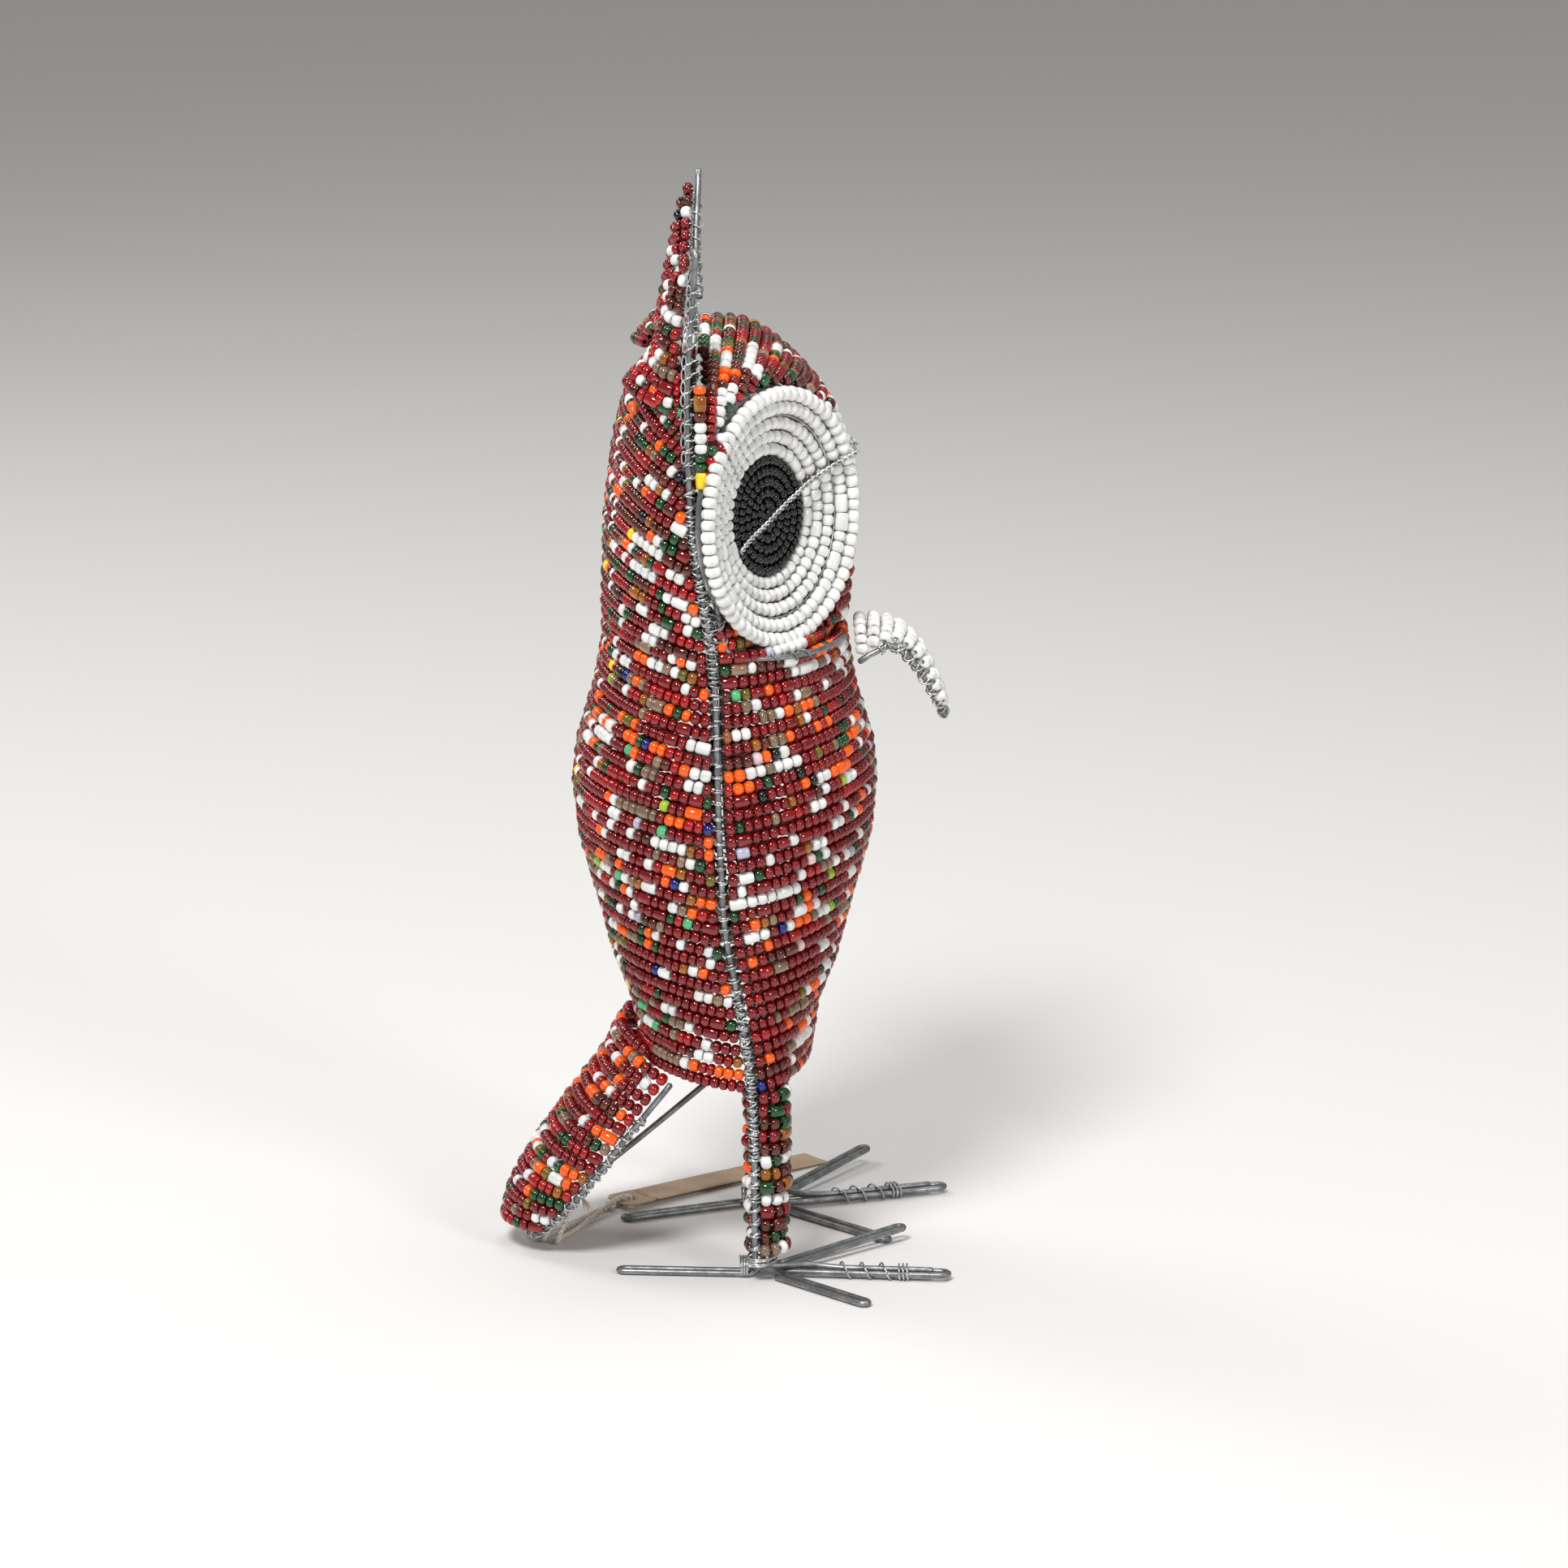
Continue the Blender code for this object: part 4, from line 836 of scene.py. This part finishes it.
def make_frame_wires():
    for side, word in WORDS.items():
        for name, points in (
            (f"{word}_side_rib", smooth_steps(side_rib_route(side), 3.0)),
            (f"{word}_back_toe", leg_toe_route(side, TOES[side]["back"], 1, TOE_HALF_GAP, FRAME_WIRE_R)),
            (f"{word}_middle_toe", leg_toe_route(side, TOES[side]["middle"], -1, MIDDLE_TOE_HALF_GAP,
                                                 MIDDLE_TOE_Z)),
        ):
            wire = Tubes()
            wire.add(points, FRAME_WIRE_R, 12)
            wire.piece(f"{name}_wire", nodes=[name])
        ankle = np.array([side * LEG_CENTRE[0], LEG_CENTRE[1]])
        for which in ("outer", "inner"):
            tip = TOES[side][which]
            along = unit(np.array(tip[:2]) - ankle)
            start = ankle + along * TOE_START * 0.62
            route = toe_loop(start, tip, TOE_HALF_GAP, FRAME_WIRE_R + min(tip[2], 1.2), FRAME_WIRE_R + tip[2])
            wire = Tubes()
            wire.add(smooth_steps(route, 3.0), FRAME_WIRE_R, 12)
            wire.piece(f"{word}_{which}_toe_wire", nodes=[f"{word}_{which}_toe"])
    for name, route in (("beak_wire", BEAK_ROUTE), ("tail_wire", TAIL_ROUTE), ("tail_brace", TAIL_BRACE)):
        wire = Tubes()
        wire.add(smooth_steps(route, 3.0), FRAME_WIRE_R, 12)
        wire.piece(f"{name}_round", nodes=[name])
    for name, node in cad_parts.items():
        if name.endswith(("hoop", "front_rib", "back_rib")):
            node.data.materials.clear()
            node.data.materials.append(MATERIALS["galvanised_wire"])


make_frame_wires()


# Strands ----------------------------------------------------------------------------------------------


def strand(end, middle, count=41, margin=EDGE_MARGIN):
    """From the right side to the left one, a half ellipse through the middle point."""
    across, y, z = end
    reach = math.hypot(middle[0] - y, middle[1] - z)
    limit = math.pi / 2 - margin / max(reach, 6.0)
    return np.array([(across * math.sin(a), y + (middle[0] - y) * math.cos(a),
                      z + (middle[1] - z) * math.cos(a)) for a in np.linspace(-limit, limit, count)])


def inset_profile(points, count, inset=BEAD_R):
    fine = smooth(points, 80)
    run = unit(np.gradient(fine, axis=0))
    normal = np.column_stack([-run[:, 1], run[:, 0]])
    return smooth(fine + normal * inset, count)


def body_strands(sign, rise, bottom, top):
    rows = []
    for z in np.arange(bottom, top, ROW_PITCH):
        z_here = z + RANDOM.normal(0, 0.12)
        middle_z = z_here + from_table(rise, z_here)
        middle = (sign * (from_table(BODY_DEPTH, middle_z) - BEAD_R), middle_z)
        rows.append(strand(rib_point(z_here), middle))
    return rows


def under_eye_strands():
    """The rows that go on up behind the eye rims."""
    return [strand(rib_point(z), (middle_y, z + 1.0)) for z, middle_y in UNDER_EYE_ROWS]


def head_back_strands():
    count = 19
    middles = inset_profile(HEAD_BACK, count)
    heights = np.linspace(NECK_Z + 2.2, 280.0, count)
    rows = []
    for z, middle in zip(heights, middles):
        low = min(1.0, (z - heights[0]) / 30.0)
        start = np.array([from_table(BODY_DEPTH, z + 9.0) - BEAD_R, z + 9.4])
        rows.append(strand(rib_point(z), start * (1 - low) + middle * low))
    return rows


def shoulder_strands(side):
    """Short strands from the rib, under the ear's foot, to the top of the head."""
    rows = []
    for t in np.linspace(0, 1, 4):
        outer = np.array(rib_point(284.0 + 10.5 * t)) + (-1.6, 1.6, 0)
        inner = np.array([27.0, 25.6 - 4.6 * t, 293.5 + 5.0 * t])
        middle = (outer + inner) / 2 + np.array([4.0, 9.5 - 4.0 * t, 3.0])
        rows.append(np.array(mirrored(smooth([outer, middle, inner], 21), side)))
    return rows


def ear_strands(side):
    tip = np.array(EAR_TIPS[side])
    outer_foot, inner_foot = np.array([57.0, 10.6, 296.0]), np.array([33.5, 9.4, 306.5])
    count = int((tip[2] - 296.0) * 0.84 / ROW_PITCH) + 2
    rows = []
    for t in np.linspace(-0.22, 0.86, count + 2):
        outer = outer_foot + (tip - outer_foot) * t - np.array([1.4, 0, 0]) * t
        inner = inner_foot + (tip - inner_foot) * t
        bulge = 10.5 * (1 - t) + 2.6 * t
        angles = np.linspace(math.radians(16), math.radians(164), 17)
        rows.append(np.array([(side * p[0], p[1] + 0.6 + bulge * math.sin(a), p[2]) for a in angles
                              for p in [(outer + inner) / 2 + (outer - inner) / 2 * math.cos(a)]]))
    return rows


def crown_strands():
    place = eye_place(1)
    count = 12
    rows = []
    for angle, middle in zip(np.radians(np.linspace(-49, 44, count)), inset_profile(CROWN, count)):
        reach = EYE_RIM_R + 3.5
        end = place(reach * math.sin(angle), reach * math.cos(angle), -3.2)
        rows.append(strand(tuple(end), middle, 41, 0.0))
    return rows


def head_top_strands():
    return [strand((27.5, y, z - 5.0), (y, z), 21, 0.0) for y, z in inset_profile(HEAD_TOP, 4)]


def face_strands():
    place = eye_place(1)
    rows = []
    for angle, middle_y in zip(np.radians(np.linspace(152, 108, 6)), np.linspace(-38.0, -40.4, 6)):
        reach = EYE_RIM_R + 3.5
        end = place(reach * math.sin(angle), reach * math.cos(angle), -3.2)
        rows.append(strand(tuple(end), (middle_y, end[2] + 1.0), 15, 0.0))
    return rows


def arch_strands(edge, top, count, inset, margin):
    sides = smooth(edge, count)
    middles = smooth(top, count)
    run = unit(np.gradient(middles, axis=0))
    rows = []
    for side_point, middle, direction in zip(sides, middles, run):
        normal = np.array([-direction[1], direction[0]])
        if normal @ (middle - side_point[1:]) < 0:
            normal = -normal
        rows.append(strand(tuple(side_point), tuple(middle - normal * inset), 31, margin))
    return rows


def back_surface(x, z):
    across, y, _ = rib_point(z)
    return y + (from_table(BODY_DEPTH, z) - y) * math.sqrt(max(0.0, 1 - (x / across) ** 2))


def tail_strands():
    """The tail's rows, with two more at its root, each cut where it meets the beads of the back."""
    root = [strand(end, middle, 31, 0.0) for end, middle in TAIL_ROOT]
    rows = [*root, *arch_strands([*TAIL_EDGE[:-1], (16.5, 57.5, 9.6)], TAIL_TOP, 17, BEAD_R, 1.6)]
    kept = []
    for row in rows:
        outside = [p for p in row if p[2] < BODY_BOTTOM_Z - 2.0 or p[1] > back_surface(p[0], p[2]) + 1.2]
        if len(outside) > 4:
            kept.append(np.array(outside))
    return kept


def hook(tubes, end, toward, rib_here, rib_way, turns=0.85):
    """A strand's wire, from its last bead on to the rib and round it."""
    way = unit(np.asarray(rib_way, float))
    reach = np.asarray(end, float) - rib_here
    reach -= way * (reach @ way)
    first = unit(reach)
    second = np.cross(way, first) * (1 if RANDOM.random() < 0.5 else -1)
    rise = RANDOM.uniform(0.6, 1.5) * (1 if RANDOM.random() < 0.7 else -1)
    radius = FRAME_WIRE_R + THIN_WIRE_R + RANDOM.uniform(0.1, 0.6)
    points = [np.asarray(end, float) - toward * 2.0, np.asarray(end, float)]
    for step in np.arange(0.16, turns, 0.125):
        angle = TAU * step
        points.append(rib_here + radius * (math.cos(angle) * first + math.sin(angle) * second)
                      + way * rise * (step - 0.16))
    tubes.add(smooth(points, len(points) * 2))


def rib_way(z):
    low, high = np.array(rib_point(z - 1.0)), np.array(rib_point(z + 1.0))
    return high - low


def hooks_of(tubes, rows):
    """Hooks at both ends of strands that run between the side ribs."""
    for row in rows:
        for side, end, before in ((-1, row[0], row[1]), (1, row[-1], row[-2])):
            z = end[2]
            rib_here = np.array(rib_point(z)) * (side, 1, 1)
            hook(tubes, end, unit(end - before), rib_here, rib_way(z) * (side, 1, 1))


def make_bead_fields():
    strings = Tubes()
    hooks = Tubes()
    fields = [
        ("body_front_beads", BODY_MIX, "red_beads",
         body_strands(-1, FRONT_RISE, BODY_BOTTOM_Z, 203.6) + under_eye_strands(), (0, 0, None)),
        ("body_back_beads", BODY_MIX, "red_beads",
         body_strands(1, BACK_RISE, BODY_BOTTOM_Z, 204.4), (0, 0, None)),
        ("head_back_beads", HEAD_MIX, "brown_beads", head_back_strands(), (0, 5, None)),
        ("head_top_beads", HEAD_MIX, "brown_beads", head_top_strands(), (0, 10, 270)),
        ("crown_beads", HEAD_MIX, "brown_beads", crown_strands(), (0, 5, 262)),
        ("face_beads", BODY_MIX, "red_beads", face_strands(), (0, 0, None)),
    ]
    for node, mix, slot, rows, (x, y, z) in fields:
        beads = Beads(mix)
        for row in rows:
            inside = (x, y, z if z is not None else row[0][2])
            beads.thread(row, inside)
            strings.add(row[::2], THIN_WIRE_R, 5)
        if node == "head_back_beads":
            for side in WORDS:
                for row in shoulder_strands(side):
                    beads.thread(row, (0, 5, 285))
        if node == "crown_beads":
            for side in WORDS:
                for points in TEMPLE_ROWS:
                    row = np.array(mirrored(smooth(points, 12), side))
                    beads.thread(row, (0, 5, 275), doubles=0.2)
        beads.piece(f"{node}_threaded", slot, nodes=[node])
        if node in ("body_front_beads", "body_back_beads", "head_back_beads"):
            hooks_of(hooks, rows)
    for side, word in WORDS.items():
        beads = Beads(HEAD_MIX)
        for row in ear_strands(side):
            beads.thread(row, (side * 46, 6, row[0][2]))
            strings.add(row[::2], THIN_WIRE_R, 5)
        beads.piece(f"{word}_ear_beads_threaded", "brown_beads", nodes=[f"{word}_ear_beads"])
    tail = Beads(TAIL_MIX)
    for row in tail_strands():
        tail.thread(row, (0, row[0][1], row[0][2] - 4))
        strings.add(row[::2], THIN_WIRE_R, 5)
    tail.piece("tail_beads_threaded", "red_beads", nodes=["tail_beads"])
    beak = Beads(WHITE_MIX)
    beak_edge = [(x, y - 1.0, z + 1.6) for x, y, z in BEAK_EDGE]
    for row in arch_strands(beak_edge, BEAK_TOP, 10, BEAD_R * 0.9, 0.9):
        beak.thread(row, (0, row[0][1], row[0][2] - 4), radius=2.1, length=3.2, doubles=0)
        strings.add(row[::2], THIN_WIRE_R, 5)
    beak.piece("beak_beads_threaded", "white_beads", nodes=["beak_beads"])
    strings.piece("strand_wires", "binding_wire")
    hooks.piece("strand_hooks", "binding_wire")


make_bead_fields()


def make_legs():
    for side, word in WORDS.items():
        slot = LEG_SLOT_ANGLE if side > 0 else math.pi - LEG_SLOT_ANGLE
        beads = Beads(LEG_MIX)
        wires = Tubes()
        for z in np.arange(10.6, 62.0, 4.25):
            half = math.radians(10 + RANDOM.uniform(-3, 3))
            angles = np.linspace(slot + half, slot + TAU - half, 33)
            tip = RANDOM.normal(0, 0.5)
            ring_r = LEG_RING_R + RANDOM.normal(0, 0.3)
            row = np.column_stack([side * LEG_CENTRE[0] + ring_r * np.cos(angles),
                                   LEG_CENTRE[1] + ring_r * np.sin(angles),
                                   z + tip * np.sin(angles) + np.linspace(-0.5, 0.5, 33)])
            beads.thread(row, (side * LEG_CENTRE[0], LEG_CENTRE[1], z), radius=2.1, doubles=0.12, spread=0.16)
            wires.add(row[::2], THIN_WIRE_R, 5)
            for end, before in ((row[0], row[1]), (row[-1], row[-2])):
                rib_here = np.array(rib_point(z)) * (side, 1, 1)
                hook(wires, end, unit(end - before), rib_here, (0, 0, 1), 1.3)
        beads.piece(f"{word}_leg_beads_threaded", "brown_beads", nodes=[f"{word}_leg_beads"])
        wires.piece(f"{word}_leg_ties", "binding_wire")


make_legs()


# Eyes -------------------------------------------------------------------------------------------------


def ring_path(place, radius, depth, start=0.0, span=TAU, count=96):
    angles = start + np.linspace(0, span, count, endpoint=span < TAU - 1e-6)
    return np.array([place(radius * math.cos(a), radius * math.sin(a), -depth) for a in angles])


def make_eyes():
    for side, word in WORDS.items():
        place = eye_place(side)
        behind = place(0, 0, -60)
        rim = Beads(WHITE_MIX, around=14)
        rim.thread(ring_path(place, EYE_RIM_R, 0.0, count=120), behind, radius=EYE_RIM_BEAD_R, length=3.55,
                   doubles=0, spread=0.05, closed=True)
        rim.piece(f"{word}_eye_rim_threaded", "white_beads", nodes=[f"{word}_eye_rim_beads"])
        dish = Beads(WHITE_MIX, around=14)
        wires = Tubes()
        for radius, bead_r in EYE_RINGS:
            depth = from_table(EYE_DISH, radius)
            gap = 1.1 / radius
            path = ring_path(place, radius, depth, EYE_SEAM + gap, TAU - 2 * gap, 110)
            dish.thread(path, behind, radius=bead_r, length=3.3, doubles=0.06, spread=0.05)
            wires.add(ring_path(place, radius, depth, count=60), THIN_WIRE_R, 5, closed=True)
        wires.add(ring_path(place, 31.8, 2.2, count=80), THIN_WIRE_R, 5, closed=True)
        for angle in (EYE_SEAM, EYE_SEAM + math.radians(118), EYE_SEAM + math.radians(262)):
            points = [place(r * math.cos(angle), r * math.sin(angle), 1.9 - from_table(EYE_DISH, r))
                      for r in (19.0, 23.0, 27.2, 31.8, 36.4)]
            wires.add(smooth(points, 16))
        dish.piece(f"{word}_eye_dish_threaded", "white_beads", nodes=[f"{word}_eye_dish_beads"])
        pupil = Beads(BLACK_MIX)
        for radius in PUPIL_RINGS:
            pupil.thread(ring_path(place, radius, PUPIL_DEPTH - 0.02 * radius, count=72), behind, radius=1.72,
                         length=2.35, doubles=0, closed=True)
        pupil.piece(f"{word}_pupil_threaded", "black_beads", nodes=[f"{word}_pupil_beads"])
        wires.piece(f"{word}_eye_ties", "binding_wire")
        path = smooth([place(*p) for p in EYE_TWIST], 80)
        twist = Tubes()
        for phase in (0.0, math.pi):
            twist.add(coil_round(path, 4.4, 0.44, 12, phase), 0.40, 7)
        loop = [place(37.0 + 1.5 * math.cos(a), 15.6 + 1.7 * math.sin(a), 2.2)
                for a in np.linspace(-2.4, 2.8, 14)]
        twist.add(smooth(loop, 26), 0.36, 7)
        twist.piece(f"{word}_eye_twist", "binding_wire", nodes=[f"{word}_eye_twisted_wire"])


make_eyes()


# Wraps ------------------------------------------------------------------------------------------------


def part_of(path, low, high):
    """The stretch of a path between two heights."""
    keep = (path[:, 2] >= low) & (path[:, 2] <= high)
    return path[keep]


def make_wraps():
    around = FRAME_WIRE_R + THIN_WIRE_R + 0.08
    for side, word in WORDS.items():
        route = smooth_steps(side_rib_route(side), 1.0)
        tip = int(np.argmax(route[:, 2]))
        outer = route[tip:]
        wraps = Tubes()
        for low, high, pitch, spare, start, hand, wobble in RIB_COILS:
            stretch = part_of(outer, low, high)
            wraps.add(coil_round(stretch, pitch, around + spare, 9, start, hand, wobble))
        ear = part_of(outer, 268.0, EAR_TIPS[side][2] - 9.0)
        wraps.add(coil_round(ear, 4.4, around, 9, 0.0, 1, 0.15))
        inner = part_of(route[:tip], 300.0, EAR_TIPS[side][2] - 9.0)
        wraps.add(coil_round(inner, 4.4, around, 9, 0.0, -1, 0.15))
        for z in np.arange(272.0, EAR_TIPS[side][2] - 9.0, 4.2):
            base = ear[np.argmin(np.abs(ear[:, 2] - z))]
            stub = [base + (0, -0.9, 0), base + (side * 0.6, -1.5, 0.2), base + (side * 0.7, -2.3, 0.5)]
            wraps.add(smooth(stub, 6))
            chain = [base + (side * 1.1, 1.2 + 0.7 * math.sin(a), 2.0 * math.cos(a)) for a in
                     np.linspace(0, TAU, 11)[:-1]]
            wraps.add(chain, THIN_WIRE_R * 0.9, 5, closed=True)
        wraps.piece(f"{word}_rib_wraps", "binding_wire")

        path = smooth(mirrored(TEMPLE_WIRE, side), 90)
        wire = Tubes()
        wire.add(path, FRAME_WIRE_R * 0.9, 12)
        wire.add(coil_round(path[34:70], 6.4, around, 9, 0.0, 1, 0.6))
        for z in np.arange(213.0, 250.0, 3.4):
            rib_here = np.array(rib_point(z)) * (side, 1, 1)
            near = path[np.argmin(np.abs(path[:60, 2] - z - RANDOM.normal(0, 1.5)))]
            middle = (rib_here + near) / 2
            half = unit(rib_here - near)
            outward = unit(np.cross(rib_way(z) * (side, 1, 1), half))
            reach = np.linalg.norm(rib_here - near) / 2 + FRAME_WIRE_R + 0.35
            lean = RANDOM.normal(0, 1.2)
            loop = [middle + half * reach * math.cos(a) + outward * 1.45 * math.sin(a)
                    + np.array([0, 0, lean * math.cos(a) + 0.5 * a / math.pi])
                    for a in np.linspace(0, 5.9, 16)]
            wire.add(smooth(loop, 28))
        wire.piece(f"{word}_temple_wire")

    for name, route, pitch in (("beak", BEAK_ROUTE, 3.0), ("tail", TAIL_ROUTE, 3.6)):
        wraps = Tubes()
        path = smooth_steps(route, 1.0)
        path = path[int(len(path) * 0.07):int(len(path) * 0.93)]
        wraps.add(coil_round(path, pitch, around, 9, 0.0, 1, 0.35))
        wraps.add(coil_round(path, pitch * 1.7, around + 0.3, 9, 1.0, -1, 0.6))
        wraps.piece(f"{name}_wraps", "binding_wire")


make_wraps()


def make_foot_bindings():
    for side, word in WORDS.items():
        root, along, _ = toe_line(side, TOES[side]["middle"], TOE_BEND_LENGTH)
        cross = np.array([-along[1], along[0]])
        half_width = MIDDLE_TOE_HALF_GAP + FRAME_WIRE_R + THIN_WIRE_R + 0.02
        low, high = 0.32, RIB_ON_TOE_Z + FRAME_WIRE_R + THIN_WIRE_R
        points = []
        for turn in np.arange(0, 6.01, 1 / 24):
            distance = 14.0 + 6.4 * min(turn, 3) + 1.3 * max(0.0, turn - 3)
            wide, tall = math.cos(TAU * turn), math.sin(TAU * turn)
            offset = half_width * math.copysign(abs(wide) ** 0.6, wide)
            z = (low + high) / 2 + (high - low) / 2 * math.copysign(abs(tall) ** 0.6, tall)
            points.append((*(root + along * distance + cross * offset), z))
        wire = Tubes()
        wire.add(smooth(points[::2], 240), THIN_WIRE_R + 0.04, 7)
        wire.piece(f"{word}_toe_coil", "binding_wire", nodes=[f"{word}_toe_binding"])
        slot = LEG_SLOT_ANGLE if side > 0 else math.pi - LEG_SLOT_ANGLE
        toward = np.array([math.cos(slot), math.sin(slot)])
        cross = np.array([-toward[1], toward[0]])
        centre = np.array([side * LEG_CENTRE[0], LEG_CENTRE[1]]) + toward * 3.0
        points = []
        for turn in np.arange(0, 3.3, 1 / 24):
            angle = TAU * turn
            xy = centre + toward * 5.6 * math.cos(angle) + cross * 4.2 * math.sin(angle)
            points.append((*xy, 5.2 + 0.78 * turn + 0.35 * math.sin(angle * 0.5)))
        wire = Tubes()
        wire.add(points, THIN_WIRE_R + 0.04, 7)
        turns = np.arange(0, 3.3, 1 / 20)
        swing = TAU * turns
        around = np.column_stack([side * LEG_CENTRE[0] + 4.0 * np.cos(swing), -7.6 + 0.85 * turns,
                                  3.3 + 3.0 * np.sin(swing)])
        wire.add(around, THIN_WIRE_R + 0.06, 7)
        wire.piece(f"{word}_ankle_coil", "binding_wire", nodes=[f"{word}_ankle_binding"])


make_foot_bindings()
